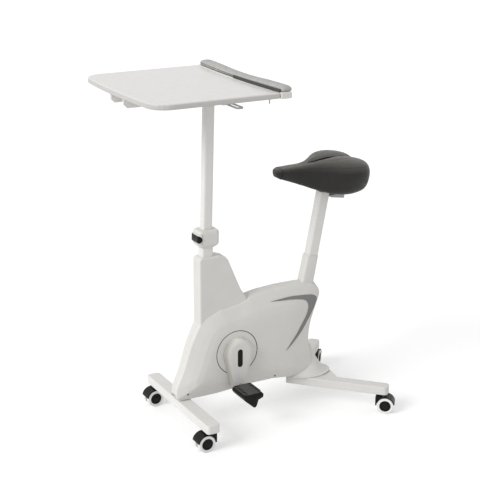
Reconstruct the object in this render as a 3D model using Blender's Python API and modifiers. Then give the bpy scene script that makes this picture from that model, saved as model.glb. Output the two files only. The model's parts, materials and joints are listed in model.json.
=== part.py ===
"""A desk exercise bike: a base on casters, a covered pedal drive, a padded saddle and a desk that slides up.

Sizes are metres. X runs from the front casters' stems back towards the saddle, Y towards the rider's right
and Z up from the floor. The root empty then moves the bike so that its footprint is centred on the origin.
"""
import math

import bmesh
import bpy
from mathutils import Vector

# Clearances
GAP = 0.0003
RUNNING_GAP = 0.002
BEAM_SLOT_CLEARANCE = 0.0023

# Casters
WHEEL_DIAMETER = 0.050
WHEEL_WIDTH = 0.014
WHEEL_SPACING = 0.026
WHEEL_AXLE_DIAMETER = 0.006
HUB_DIAMETER = 0.035
CASTER_HEIGHT = 0.060
CASTER_TRAIL = 0.017
HOOD_WALL = 0.0023
HOOD_CLEARANCE = 0.0012
HOOD_BLOCK_FRONT = 0.0125
HOOD_CORNER = 0.003
FRONT_CASTER_HEADING = math.radians(180)
REAR_CASTER_HEADINGS = {-1: math.radians(-38), 1: math.radians(46)}
STEM_DIAMETER = 0.010
STEM_LENGTH = 0.018
STEM_COLLAR_DIAMETER = 0.018
STEM_COLLAR_HEIGHT = 0.004

# Base bars
BAR_HEIGHT = 0.026
BAR_WALL = 0.002
CROSSBAR_WIDTH = 0.040
CROSSBAR_LENGTH = 0.410
CROSSBAR_X = -0.003
CROSSBAR_CORNER = 0.009
FRONT_STEM_FROM_END = 0.033
LEG_WIDTH = 0.036
LEG_LENGTH = 0.294
LEG_ANGLE = math.radians(45.8)
LEG_CORNER = 0.012
LEG_HUB_X = 0.372
LEG_WEB_THICKNESS = 0.005
LEG_WEB_REAR = 0.487
LEG_WEB_SIDE = (0.477, 0.084)
REAR_STEM_FROM_END = 0.025

# Base beam
BEAM_WIDTH = 0.032
BEAM_HEIGHT = 0.030
BEAM_WALL = 0.002
BEAM_PAD_HEIGHT = 0.006
BEAM_FRONT_X = -0.017
BEAM_OVERHANG = 0.026
FRONT_PAD_LENGTH = 0.034
REAR_PAD_LENGTH = 0.048

# Desk mast and post
MAST_LEAN = math.radians(1.69)
MAST_FOOT_X = 0.0655
MAST_DEPTH = 0.036
MAST_WIDTH = 0.030
MAST_WALL = 0.0025
MAST_RISE = 0.448
POST_WALL = 0.002
POST_LENGTH = 0.742
POST_INSERTION = 0.370
COLLAR_DEPTH = 0.065
COLLAR_WIDTH = 0.050
COLLAR_HEIGHT = 0.050
COLLAR_OVERLAP = 0.030
TUBE_CORNER = 0.006

# Collar lever
COLLAR_CORNER = 0.010
COLLAR_LEVER_HEIGHT = 0.027
COLLAR_LEVER_DEPTH = 0.0105
COLLAR_LEVER_STANDOUT = 0.0015
COLLAR_LEVER_RISE = 0.002
COLLAR_LEVER_ROUNDING = 0.004
COLLAR_LEVER_ROOM = 0.0008

# Seat tube and post
SEAT_LEAN = math.radians(11.05)
SEAT_FOOT_X = 0.3615
SEAT_TUBE_DEPTH = 0.040
SEAT_TUBE_WIDTH = 0.036
SEAT_TUBE_WALL = 0.0027
SEAT_TUBE_RISE = 0.249
SEAT_POST_WALL = 0.002
SEAT_POST_LENGTH = 0.508
SEAT_POST_INSERTION = 0.225
GAS_CYLINDER_DIAMETER = 0.022
GAS_CYLINDER_LENGTH = 0.292
GAS_ROD_DIAMETER = 0.010
GAS_ROD_FOOT = 0.003
GAS_ROD_HEADROOM = 0.042

# Crank
CRANK_X = 0.1575
CRANK_RISE = 0.0905
CRANK_AXLE_DIAMETER = 0.0156
CRANK_LENGTH = 0.099
CRANK_DISC_DIAMETER = 0.131
CRANK_DISC_THICKNESS = 0.006
CRANK_HUB_RADIUS = 0.046
CRANK_TIP_RADIUS = 0.0225
CRANK_THICKNESS = 0.0195
CRANK_SOCKET_COVER = 0.004
CAP_LENGTH = 0.055
CAP_WIDTH = 0.016
CAP_DEPTH = 0.004
BRACKET_SHELL_DIAMETER = 0.042
BRACKET_SHELL_LENGTH = 0.030
BEARING_DIAMETER = 0.030
BEARING_WIDTH = 0.007
BRACKET_POST_DEPTH = 0.030
BRACKET_POST_WIDTH = 0.026

# Pedals
PEDAL_SPINDLE_DIAMETER = 0.012
PEDAL_FLANGE_DIAMETER = 0.017
PEDAL_WIDTH = 0.078
PEDAL_STANDOFF = 0.016

# Flywheel drive
FLYWHEEL_X = 0.283
FLYWHEEL_RISE = 0.127
FLYWHEEL_DIAMETER = 0.144
FLYWHEEL_WIDTH = 0.020
DRIVE_PULLEY_DIAMETER = 0.116
SMALL_PULLEY_DIAMETER = 0.029
PULLEY_WIDTH = 0.007
PULLEY_Y = 0.0205
BELT_THICKNESS = 0.002
FLYWHEEL_AXLE_DIAMETER = 0.010
FORK_THICKNESS = 0.003
FORK_DEPTH = 0.040
BRAKE_CLEARANCE = 0.0025
BRAKE_THICKNESS = 0.007
BRAKE_WIDTH = 0.024

# Body shell
SHELL_WALL = 0.003
SHELL_EDGE_RADIUS = 0.006
SHELL_CROWN = 0.008
SHELL_MID_WIDTH = 0.0395
SHELL_FRONT_WIDTH = 0.0195
SHELL_REAR_WIDTH = 0.0265
TOWER_WIDTH = 0.0225
TOWER_EDGE_RADIUS = 0.004
STRIPE_THICKNESS = 0.0008
SCREW_DIAMETER = 0.0065
SCREW_LENGTH = 0.005

# Saddle
SADDLE_BASE_HEIGHT = 0.011
SEAT_HEAD_HEIGHT = 0.012
SEAT_PLATE_LENGTH = 0.046
SEAT_PLATE_THICKNESS = 0.006
SEAT_LEVER_WIDTH = 0.016
SEAT_LEVER_EYE = 0.0042
SEAT_LEVER_PIN_DIAMETER = 0.004
LEVER_FORK_LENGTH = 0.017
LEVER_FORK_WIDTH = 0.026
LEVER_FORK_DROP = 0.024

# Desk
DESK_THICKNESS = 0.016
DESK_HALF_WIDTH = 0.242
DESK_EDGE_RADIUS = 0.005
DESK_REACH = 0.280
DESK_BACK = 0.075
DESK_BACK_SWEEP = 0.014
DESK_CORNER = 0.055
DESK_BOW = 0.007
ARM_HEIGHT = 0.026
ARM_WIDTH = 0.009
ARM_Y = 0.042
ARM_REACH = 0.270
ARM_BACK = 0.062
PLATE_THICKNESS = 0.005
PLATE_LENGTH = 0.110
PLATE_SOCKET_HEIGHT = 0.016
RAIL_WIDTH = 0.045
RAIL_HEIGHT = 0.0175
PAD_WIDTH = 0.036
PAD_HEIGHT = 0.0125
PAD_CROWN = 0.003
PAD_SETBACK = 0.003
PAD_SWEEP = 0.010
RAIL_SWEEP = 0.002
RAIL_DROP = 0.001
LINER_WIDTH = 0.004
LINER_HEIGHT = 0.008
LINER_FROM_END = 0.006
LINER_PAST_MIDDLE = 0.002

# Desk lift lever
LIFT_LEVER_WIRE = 0.004
LIFT_LEVER_LENGTH = 0.078
LIFT_LEVER_SPREAD = 0.018
LIFT_LEVER_OFFSET = 0.040
LIFT_LEVER_DROP = 0.012
LIFT_EAR_Y = -0.032
LIFT_EAR_WIDTH = 0.008
LIFT_EAR_HEIGHT = 0.018

# Levels that follow from the sizes above
WHEEL_RADIUS = WHEEL_DIAMETER / 2
BAR_TOP = CASTER_HEIGHT + BAR_HEIGHT
BEAM_BOTTOM = BAR_TOP + GAP + BEAM_PAD_HEIGHT
BEAM_TOP = BEAM_BOTTOM + BEAM_HEIGHT
FRAME_FLOOR = BEAM_TOP + GAP
CRANK_Z = BEAM_TOP + CRANK_RISE
FLYWHEEL_Z = BEAM_TOP + FLYWHEEL_RISE
COLLAR_BOTTOM = BEAM_TOP + MAST_RISE - COLLAR_OVERLAP
COLLAR_TOP = COLLAR_BOTTOM + COLLAR_HEIGHT
POST_DEPTH = MAST_DEPTH - 2 * MAST_WALL - 2 * GAP
POST_WIDTH = MAST_WIDTH - 2 * MAST_WALL - 2 * GAP
SEAT_POST_DEPTH = SEAT_TUBE_DEPTH - 2 * SEAT_TUBE_WALL - 2 * GAP
SEAT_POST_WIDTH = SEAT_TUBE_WIDTH - 2 * SEAT_TUBE_WALL - 2 * GAP
DISC_FACE = SHELL_MID_WIDTH
ARM_INNER_FACE = DISC_FACE + GAP
ARM_OUTER_FACE = ARM_INNER_FACE + CRANK_THICKNESS
SEAT_TUBE_TOP = BEAM_TOP + SEAT_TUBE_RISE
SEAT_POST_FOOT = SEAT_TUBE_TOP - SEAT_POST_INSERTION * math.cos(SEAT_LEAN)
SEAT_POST_HEAD = SEAT_POST_FOOT + SEAT_POST_LENGTH * math.cos(SEAT_LEAN)
GAS_ROD_LENGTH = (SEAT_POST_HEAD - BEAM_TOP - GAS_ROD_FOOT) / math.cos(SEAT_LEAN) - GAS_ROD_HEADROOM

COLOURS = {
    "white_paint": ((0.80, 0.79, 0.76), 0.42, 0.0),
    "white_plastic": ((0.74, 0.73, 0.70), 0.48, 0.0),
    "grey_accent": ((0.19, 0.19, 0.19), 0.45, 0.0),
    "black_plastic": ((0.02, 0.02, 0.02), 0.5, 0.0),
    "dark_plastic": ((0.06, 0.06, 0.058), 0.55, 0.0),
    "light_plastic": ((0.42, 0.42, 0.41), 0.5, 0.0),
    "tread": ((0.50, 0.50, 0.49), 0.6, 0.0),
    "desk_laminate": ((0.78, 0.77, 0.74), 0.35, 0.0),
    "pad_leather": ((0.42, 0.42, 0.41), 0.6, 0.0),
    "saddle_leather": ((0.11, 0.105, 0.10), 0.55, 0.0),
    "steel": ((0.45, 0.45, 0.45), 0.35, 1.0),
    "cast_iron": ((0.12, 0.12, 0.12), 0.6, 1.0),
    "belt_rubber": ((0.02, 0.02, 0.02), 0.7, 0.0),
}


def clear_scene():
    for obj in list(bpy.data.objects):
        bpy.data.objects.remove(obj, do_unlink=True)


def new_collection(name):
    collection = bpy.data.collections.new(name)
    bpy.context.scene.collection.children.link(collection)
    return collection


def material(name):
    """The Principled material of one finish, made the first time it is asked for."""
    if name in bpy.data.materials:
        return bpy.data.materials[name]
    colour, roughness, metallic = COLOURS[name]
    made = bpy.data.materials.new(name)
    made.use_nodes = True
    shader = made.node_tree.nodes["Principled BSDF"]
    shader.inputs["Base Color"].default_value = (*colour, 1.0)
    shader.inputs["Roughness"].default_value = roughness
    shader.inputs["Metallic"].default_value = metallic
    return made


clear_scene()
PARTS = new_collection("desk_exercise_bike")
CUTTERS = new_collection("cutters")
ANCHORS = {}


def pivot(name, location, parent=None):
    """An empty that its pieces turn or slide with."""
    empty = bpy.data.objects.new(name, None)
    empty.empty_display_size = 0.03
    PARTS.objects.link(empty)
    ANCHORS[name] = Vector(location)
    if parent:
        empty.parent = parent
        empty.location = Vector(location) - ANCHORS[parent.name]
    return empty


def attach(obj, location, parent, turn=(0.0, 0.0, 0.0)):
    """Places an object at a point of the whole bike and hangs it on a pivot."""
    obj.parent = parent
    obj.location = Vector(location) - ANCHORS[parent.name]
    obj.rotation_euler = turn
    return obj


# Basic shapes


def from_bmesh(name, bm, finish):
    bmesh.ops.recalc_face_normals(bm, faces=bm.faces)
    mesh = bpy.data.meshes.new(name)
    bm.to_mesh(mesh)
    bm.free()
    mesh.materials.append(material(finish))
    obj = bpy.data.objects.new(name, mesh)
    PARTS.objects.link(obj)
    return obj


def smooth(obj, angle=35):
    obj.data.shade_smooth()
    obj.data.set_sharp_from_angle(angle=math.radians(angle))
    return obj


def extruded(name, loops, thickness, finish):
    """A plate with the given outline loops of (u, v) points, centred on its own plane."""
    curve = bpy.data.curves.new(name, "CURVE")
    curve.dimensions = "2D"
    curve.fill_mode = "BOTH"
    curve.extrude = thickness / 2
    for points in loops:
        spline = curve.splines.new("POLY")
        spline.points.add(len(points) - 1)
        for point, (u, v) in zip(spline.points, points):
            point.co = (u, v, 0, 1)
        spline.use_cyclic_u = True
    holder = bpy.data.objects.new(name + "_curve", curve)
    PARTS.objects.link(holder)
    depsgraph = bpy.context.evaluated_depsgraph_get()
    mesh = bpy.data.meshes.new_from_object(holder.evaluated_get(depsgraph))
    bpy.data.objects.remove(holder)
    bm = bmesh.new()
    bm.from_mesh(mesh)
    bpy.data.meshes.remove(mesh)
    bmesh.ops.remove_doubles(bm, verts=bm.verts, dist=0.00001)
    bmesh.ops.dissolve_limit(bm, angle_limit=0.001, verts=bm.verts, edges=bm.edges)
    return smooth(from_bmesh(name, bm, finish))


def turned(name, profile, finish, steps=24, closed=False):
    """A profile of (radius, height) points, from its top down its outer side, turned round local Z."""
    mesh = bpy.data.meshes.new(name)
    edges = [(i, i + 1) for i in range(len(profile) - 1)]
    if closed:
        edges.append((len(profile) - 1, 0))
    mesh.from_pydata([(r, 0.0, z) for r, z in profile], edges, [])
    mesh.materials.append(material(finish))
    obj = bpy.data.objects.new(name, mesh)
    PARTS.objects.link(obj)
    screw = obj.modifiers.new("turn", "SCREW")
    screw.steps = steps
    screw.render_steps = steps
    screw.use_merge_vertices = True
    screw.merge_threshold = 0.00001
    screw.use_smooth_shade = True
    return obj


def rod(name, radius, length, finish, steps=24, chamfer=0.0):
    half = length / 2
    profile = [(0, half), (radius - chamfer, half)]
    if chamfer:
        profile += [(radius, half - chamfer), (radius, chamfer - half)]
    profile += [(radius - chamfer, -half), (0, -half)]
    return turned(name, profile, finish, steps)


def block(name, size, finish):
    bm = bmesh.new()
    bmesh.ops.create_cube(bm, size=1.0)
    bmesh.ops.scale(bm, vec=size, verts=bm.verts)
    return from_bmesh(name, bm, finish)


def loft(name, rings, finish):
    """A closed skin through rings of equally many points, capped at both ends."""
    bm = bmesh.new()
    rows = [[bm.verts.new(point) for point in ring] for ring in rings]
    for low, high in zip(rows, rows[1:]):
        for i in range(len(low)):
            j = (i + 1) % len(low)
            bm.faces.new((low[i], low[j], high[j], high[i]))
    bm.faces.new(rows[0][::-1])
    bm.faces.new(rows[-1])
    return smooth(from_bmesh(name, bm, finish))


def soften(obj, width, segments=2, angle=40):
    bevel = obj.modifiers.new("round", "BEVEL")
    bevel.width = width
    bevel.segments = segments
    bevel.limit_method = "ANGLE"
    bevel.angle_limit = math.radians(angle)
    bevel.harden_normals = False
    return obj


def as_cutter(tool):
    PARTS.objects.unlink(tool)
    CUTTERS.objects.link(tool)
    tool.hide_render = True
    tool.display_type = "WIRE"
    return tool


def combine(obj, tool, operation):
    if tool.name not in CUTTERS.objects:
        as_cutter(tool)
    modifier = obj.modifiers.new(tool.name, "BOOLEAN")
    modifier.object = tool
    modifier.operation = operation
    return obj


def cut(obj, tool):
    return combine(obj, tool, "DIFFERENCE")


def join(obj, tool):
    return combine(obj, tool, "UNION")


# Outlines


def arc(centre, radius, start, end, steps):
    """Points on an arc from one angle to another, in degrees."""
    angles = [math.radians(start + (end - start) * i / steps) for i in range(steps + 1)]
    return [(centre[0] + radius * math.cos(a), centre[1] + radius * math.sin(a)) for a in angles]


def circle(centre, radius, steps=24):
    return arc(centre, radius, 0, 360, steps)[:-1]


def rounded_rectangle(width, depth, corner, steps=3):
    """Outline centred on zero, width along u and depth along v."""
    u, v = width / 2 - corner, depth / 2 - corner
    points = []
    for cu, cv, start in ((u, v, 0), (-u, v, 90), (-u, -v, 180), (u, -v, 270)):
        points += arc((cu, cv), corner, start, start + 90, steps)
    return points


def spline_points(points, per_span):
    """A smooth curve through open control points, as a Catmull-Rom spline."""
    path = []
    for i in range(len(points) - 1):
        before = points[max(i - 1, 0)]
        start, end = points[i], points[i + 1]
        after = points[min(i + 2, len(points) - 1)]
        for step in range(per_span):
            t = step / per_span
            path.append(tuple(
                0.5 * (2 * b + (c - a) * t + (2 * a - 5 * b + 4 * c - d) * t * t
                       + (3 * b - a - 3 * c + d) * t ** 3)
                for a, b, c, d in zip(before, start, end, after)))
    path.append(tuple(points[-1]))
    return path


def scaled(points, factor, centre):
    return [(centre[0] + (u - centre[0]) * factor, centre[1] + (v - centre[1]) * factor) for u, v in points]


def inset(points, distance):
    """The outline moved inwards by a small distance, for points that run anticlockwise."""
    moved = []
    for i, (u, v) in enumerate(points):
        u0, v0 = points[i - 1]
        u1, v1 = points[(i + 1) % len(points)]
        first = Vector((u - u0, v - v0)).normalized()
        second = Vector((u1 - u, v1 - v)).normalized()
        normal = Vector((-first.y - second.y, first.x + second.x)).normalized()
        spread = max(normal.dot(Vector((-first.y, first.x))), 0.5)
        moved.append((u + normal.x * distance / spread, v + normal.y * distance / spread))
    return moved


def belt_outline(first, first_radius, second, second_radius, steps=14):
    """The outer line of a belt that runs round two pulleys, first one on the left."""
    across = Vector(second) - Vector(first)
    heading = math.degrees(math.atan2(across.y, across.x))
    tilt = math.degrees(math.acos((first_radius - second_radius) / across.length))
    points = arc(second, second_radius, heading - tilt, heading + tilt, steps)
    points += arc(first, first_radius, heading + tilt, heading + 360 - tilt, 2 * steps)
    return points


UPRIGHT = (math.radians(90), 0.0, 0.0)
ALONG_X = (0.0, math.radians(90), 0.0)


def facing(side):
    """The turn that points a turned piece's local Z to the left (side -1) or right (side 1)."""
    return (math.radians(-90 * side), 0.0, 0.0)


def side_name(side):
    return "left" if side < 0 else "right"


ROOT = pivot("bike", (0, 0, 0))


# Casters


def hood_outline():
    """Side view of a caster hood: a band over the wheels and a square block at the stem."""
    axle = (CASTER_TRAIL, WHEEL_RADIUS)
    inner = WHEEL_RADIUS + HOOD_CLEARANCE
    outer = inner + HOOD_WALL
    block_top = CASTER_HEIGHT - STEM_COLLAR_HEIGHT
    points = arc(axle, outer, 12, 100, 8)
    points += [(STEM_COLLAR_DIAMETER / 2, block_top), (HOOD_CORNER - HOOD_BLOCK_FRONT, block_top)]
    points += [(-HOOD_BLOCK_FRONT, block_top - HOOD_CORNER), (-HOOD_BLOCK_FRONT, WHEEL_RADIUS + 0.002)]
    points += arc(axle, inner, 178, 12, 12)
    return points


def hood_web_outline():
    axle = (CASTER_TRAIL, WHEEL_RADIUS)
    reach = WHEEL_RADIUS + HOOD_CLEARANCE + HOOD_WALL / 2
    return arc(axle, reach, 40, 172, 8) + arc(axle, 0.009, 205, 340, 6)


def caster(name, stem, heading):
    """A twin-wheel caster whose wheels trail in the given direction from its stem."""
    swivel = pivot(name + "_swivel", (stem[0], stem[1], CASTER_HEIGHT), ROOT)
    swivel.rotation_euler = (0, 0, heading)
    hood_width = WHEEL_SPACING + WHEEL_WIDTH
    web_width = WHEEL_SPACING - WHEEL_WIDTH - 2 * RUNNING_GAP
    hood = extruded("caster_hood_" + name, [hood_outline()], hood_width, "black_plastic")
    hood.rotation_euler = UPRIGHT
    hood.location = (0, 0, -CASTER_HEIGHT)
    web = extruded("web_" + name, [hood_web_outline()], web_width, "black_plastic")
    web.rotation_euler = UPRIGHT
    web.location = hood.location
    stem_profile = [(0, STEM_LENGTH), (STEM_DIAMETER / 2, STEM_LENGTH), (STEM_DIAMETER / 2, -GAP),
                    (STEM_COLLAR_DIAMETER / 2, -GAP), (STEM_COLLAR_DIAMETER / 2, -STEM_COLLAR_HEIGHT - 0.001),
                    (0, -STEM_COLLAR_HEIGHT - 0.001)]
    stem_piece = turned("stem_" + name, stem_profile, "steel", steps=16)
    bore = rod("axle_bore_" + name, WHEEL_AXLE_DIAMETER / 2 + GAP, 2 * web_width, "steel", 16)
    bore.rotation_euler = UPRIGHT
    bore.location = (CASTER_TRAIL, 0, WHEEL_RADIUS - CASTER_HEIGHT)
    for piece in (hood, web, stem_piece, bore):
        piece.parent = swivel
    join(hood, web)
    join(hood, stem_piece)
    cut(hood, bore)

    spin = bpy.data.objects.new(name + "_spin", None)
    PARTS.objects.link(spin)
    spin.parent = swivel
    spin.location = (CASTER_TRAIL, 0, WHEEL_RADIUS - CASTER_HEIGHT)
    outside = (WHEEL_SPACING + WHEEL_WIDTH) / 2
    inside = (WHEEL_SPACING - WHEEL_WIDTH) / 2
    hub = HUB_DIAMETER / 2
    half = [(0, outside - 0.0012), (hub - 0.0006, outside - 0.0012), (hub, outside),
            (WHEEL_RADIUS - 0.0012, outside), (WHEEL_RADIUS, outside - 0.0012),
            (WHEEL_RADIUS, inside), (WHEEL_AXLE_DIAMETER / 2, inside)]
    wheels = turned("caster_wheels_" + name, half + [(r, -y) for r, y in reversed(half)], "tread")
    wheels.rotation_euler = UPRIGHT
    wheels.parent = spin


def stem_bore(name, stem):
    bore = rod("stem_bore_" + name, STEM_DIAMETER / 2 + GAP, 2 * BAR_HEIGHT / 3, "steel", 16)
    return attach(bore, (stem[0], stem[1], CASTER_HEIGHT), ROOT)


# Base


def leg_point(side, distance):
    """A point on a rear leg's centre line."""
    return (LEG_HUB_X + distance * math.cos(LEG_ANGLE), side * distance * math.sin(LEG_ANGLE))


def front_stem(side):
    return (0.0, side * (CROSSBAR_LENGTH / 2 - FRONT_STEM_FROM_END))


def rear_stem(side):
    return leg_point(side, LEG_LENGTH - REAR_STEM_FROM_END)


def hollow_bar(name, length, width, corner):
    """A closed steel bar along local Y, hollow inside."""
    bar = extruded(name, [rounded_rectangle(width, length, corner, 4)], BAR_HEIGHT, "white_paint")
    soften(bar, 0.002)
    inside = rounded_rectangle(width - 2 * BAR_WALL, length - 2 * BAR_WALL, corner - BAR_WALL, 4)
    hollow = extruded(name + "_hollow", [inside], BAR_HEIGHT - 2 * BAR_WALL, "white_paint")
    return bar, hollow


def front_crossbar():
    bar, hollow = hollow_bar("front_crossbar", CROSSBAR_LENGTH, CROSSBAR_WIDTH, CROSSBAR_CORNER)
    middle = (CROSSBAR_X, 0, CASTER_HEIGHT + BAR_HEIGHT / 2)
    attach(bar, middle, ROOT)
    cut(bar, attach(hollow, middle, ROOT))
    for side in (-1, 1):
        cut(bar, stem_bore("front_" + side_name(side), front_stem(side)))


def leg_web_outline(side):
    """Plan of the half web that fills the angle behind the legs, out to a bowed rear edge."""
    side_x, side_y = LEG_WEB_SIDE
    rear = [(side_x + (LEG_WEB_REAR - side_x) * (1 - (y / side_y) ** 2), side * y)
            for y in (side_y, 0.75 * side_y, 0.5 * side_y, 0.25 * side_y, 0.0, -LEG_WIDTH / 2)]
    return [(LEG_HUB_X + 0.010, -side * LEG_WIDTH / 2), (LEG_HUB_X + 0.010, side * 0.010)] + rear


def rear_leg(side):
    """A splayed leg, mitred against the other one at the middle of the bike."""
    start = -LEG_WIDTH
    length = LEG_LENGTH - start
    middle = leg_point(side, start + length / 2)
    place = (*middle, CASTER_HEIGHT + BAR_HEIGHT / 2)
    turn = (0, 0, side * LEG_ANGLE - math.radians(90))
    bar, hollow = hollow_bar("rear_leg_" + side_name(side), length, LEG_WIDTH, LEG_CORNER)
    attach(bar, place, ROOT, turn)
    cut(bar, attach(hollow, place, ROOT, turn))
    web = extruded("leg_web_" + side_name(side), [leg_web_outline(side)], LEG_WEB_THICKNESS, "white_paint")
    join(bar, attach(web, (0, 0, BAR_TOP - 0.001 - LEG_WEB_THICKNESS / 2), ROOT))
    mitre = block("mitre_" + side_name(side), (LEG_LENGTH, LEG_LENGTH, 3 * BAR_HEIGHT), "white_paint")
    attach(mitre, (LEG_HUB_X, -side * (LEG_LENGTH / 2 - GAP / 2), place[2]), ROOT)
    cut(bar, mitre)
    cut(bar, stem_bore("rear_" + side_name(side), rear_stem(side)))


def base_beam():
    """The long beam that stands on pads over the crossbar and the legs."""
    rear_end = LEG_HUB_X + BEAM_OVERHANG
    length = rear_end - BEAM_FRONT_X
    outer = rounded_rectangle(BEAM_HEIGHT, BEAM_WIDTH, 0.004, 2)
    inner = rounded_rectangle(BEAM_HEIGHT - 2 * BEAM_WALL, BEAM_WIDTH - 2 * BEAM_WALL, 0.002, 2)
    beam = extruded("base_beam", [outer, inner], length, "white_paint")
    attach(beam, (BEAM_FRONT_X + length / 2, 0, BEAM_BOTTOM + BEAM_HEIGHT / 2), ROOT, ALONG_X)
    sink = BEAM_WALL / 2
    for name, x, pad_length in (("front_pad", BEAM_FRONT_X + FRONT_PAD_LENGTH / 2, FRONT_PAD_LENGTH),
                                ("rear_pad", rear_end - REAR_PAD_LENGTH / 2, REAR_PAD_LENGTH)):
        pad = block(name, (pad_length, BEAM_WIDTH - 0.002, BEAM_PAD_HEIGHT + sink), "white_paint")
        join(beam, attach(pad, (x, 0, BAR_TOP + GAP + (BEAM_PAD_HEIGHT + sink) / 2), ROOT))


# Frame


def mast_x(z):
    return MAST_FOOT_X + (z - BEAM_TOP) * math.tan(MAST_LEAN)


def seat_x(z):
    return SEAT_FOOT_X + (z - BEAM_TOP) * math.tan(SEAT_LEAN)


def leaning_tube(name, sizes, wall, low, high, line, lean, finish, pivot_point, capped=False):
    """A rounded rectangular tube along a leaning line, between two heights."""
    depth, width = sizes
    outer = rounded_rectangle(depth, width, TUBE_CORNER)
    inner = rounded_rectangle(depth - 2 * wall, width - 2 * wall, TUBE_CORNER - wall)
    length = (high - low) / math.cos(lean)
    loops = [outer] if capped else [outer, inner]
    tube = extruded(name, loops, length, finish)
    middle = (low + high) / 2
    return attach(tube, (line(middle), 0, middle), pivot_point, (0, lean, 0))


def frame_floor_cutter():
    """Trims what stands on the beam level with the beam's top."""
    depth = 0.05
    cutter = block("frame_floor", (0.6, 0.2, depth), "white_paint")
    return attach(cutter, (0.2, 0, FRAME_FLOOR - depth / 2), ROOT)


def desk_mast(floor):
    mast = leaning_tube("desk_mast", (MAST_DEPTH, MAST_WIDTH), MAST_WALL, BEAM_TOP - 0.004,
                        BEAM_TOP + MAST_RISE, mast_x, MAST_LEAN, "white_paint", ROOT)
    cut(mast, floor)


def seat_tube(floor):
    tube = leaning_tube("seat_tube", (SEAT_TUBE_DEPTH, SEAT_TUBE_WIDTH), SEAT_TUBE_WALL, BEAM_TOP - 0.008,
                        BEAM_TOP + SEAT_TUBE_RISE, seat_x, SEAT_LEAN, "white_paint", ROOT)
    cut(tube, floor)


def bottom_bracket():
    """A short post on the beam with the bearing shell across its top."""
    outer, inner = BRACKET_SHELL_DIAMETER / 2, BEARING_DIAMETER / 2 + GAP
    half = BRACKET_SHELL_LENGTH / 2
    shell = turned("bottom_bracket", [(outer, half), (outer, -half), (inner, -half), (inner, half)],
                   "white_paint", closed=True)
    attach(shell, (CRANK_X, 0, CRANK_Z), ROOT, UPRIGHT)
    top = CRANK_Z - (outer + inner) / 2
    post = block("bracket_post", (BRACKET_POST_DEPTH, BRACKET_POST_WIDTH, top - FRAME_FLOOR), "white_paint")
    join(shell, attach(post, (CRANK_X, 0, (FRAME_FLOOR + top) / 2), ROOT))
    bore = rod("bracket_bore", inner, 2 * BRACKET_SHELL_LENGTH, "steel")
    cut(shell, attach(bore, (CRANK_X, 0, CRANK_Z), ROOT, UPRIGHT))


def flywheel_fork():
    """Two plates that carry the flywheel's axle, joined by a foot on the beam."""
    near, far = fork_faces()
    rise = FLYWHEEL_Z - FRAME_FLOOR
    top_radius = FORK_DEPTH / 2 - 0.004
    outline = [(-FORK_DEPTH / 2, 0), (FORK_DEPTH / 2, 0)] + arc((0, rise), top_radius, -5, 185, 10)
    hole = circle((0, rise), FLYWHEEL_AXLE_DIAMETER / 2 + GAP, 16)
    fork = extruded("flywheel_fork", [outline, hole], FORK_THICKNESS, "white_paint")
    attach(fork, (FLYWHEEL_X, near - FORK_THICKNESS / 2, FRAME_FLOOR), ROOT, UPRIGHT)
    other = extruded("fork_far_plate", [outline, hole], FORK_THICKNESS, "white_paint")
    join(fork, attach(other, (FLYWHEEL_X, far + FORK_THICKNESS / 2, FRAME_FLOOR), ROOT, UPRIGHT))
    width = far - near + 2 * FORK_THICKNESS
    foot = block("fork_foot", (FORK_DEPTH, width, FORK_THICKNESS), "white_paint")
    join(fork, attach(foot, (FLYWHEEL_X, (near + far) / 2, FRAME_FLOOR + FORK_THICKNESS / 2), ROOT))


def fork_faces():
    """The inner faces of the flywheel fork's two plates."""
    near = -FLYWHEEL_WIDTH / 2 - RUNNING_GAP
    far = PULLEY_Y + PULLEY_WIDTH / 2 + RUNNING_GAP
    return near, far


# Drive


def crank_axle(crank):
    """The axle through the bracket, its ends inside the crank arms."""
    length = 2 * (ARM_OUTER_FACE - CAP_DEPTH - CRANK_SOCKET_COVER)
    axle = rod("crank_axle", CRANK_AXLE_DIAMETER / 2, length, "steel", chamfer=0.0008)
    attach(axle, (CRANK_X, 0, CRANK_Z), crank, UPRIGHT)


def crank_bearing(side):
    outer, inner = BEARING_DIAMETER / 2, CRANK_AXLE_DIAMETER / 2 + GAP
    half = BEARING_WIDTH / 2
    bearing = turned("crank_bearing_" + side_name(side),
                     [(outer, half), (outer, -half), (inner, -half), (inner, half)], "steel", closed=True)
    attach(bearing, (CRANK_X, side * (BRACKET_SHELL_LENGTH / 2 - half), CRANK_Z), ROOT, UPRIGHT)


def drive_pulley(crank):
    rim, bore = DRIVE_PULLEY_DIAMETER / 2, CRANK_AXLE_DIAMETER / 2 + GAP
    half, web = PULLEY_WIDTH / 2, 0.0012
    hub, rim_inside = 0.016, rim - 0.006
    profile = [(bore, half), (hub, half), (hub, web), (rim_inside, web), (rim_inside, half), (rim, half)]
    profile += [(r, -y) for r, y in reversed(profile)]
    pulley = turned("drive_pulley", profile, "black_plastic", steps=32, closed=True)
    attach(pulley, (CRANK_X, PULLEY_Y, CRANK_Z), crank, UPRIGHT)


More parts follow.
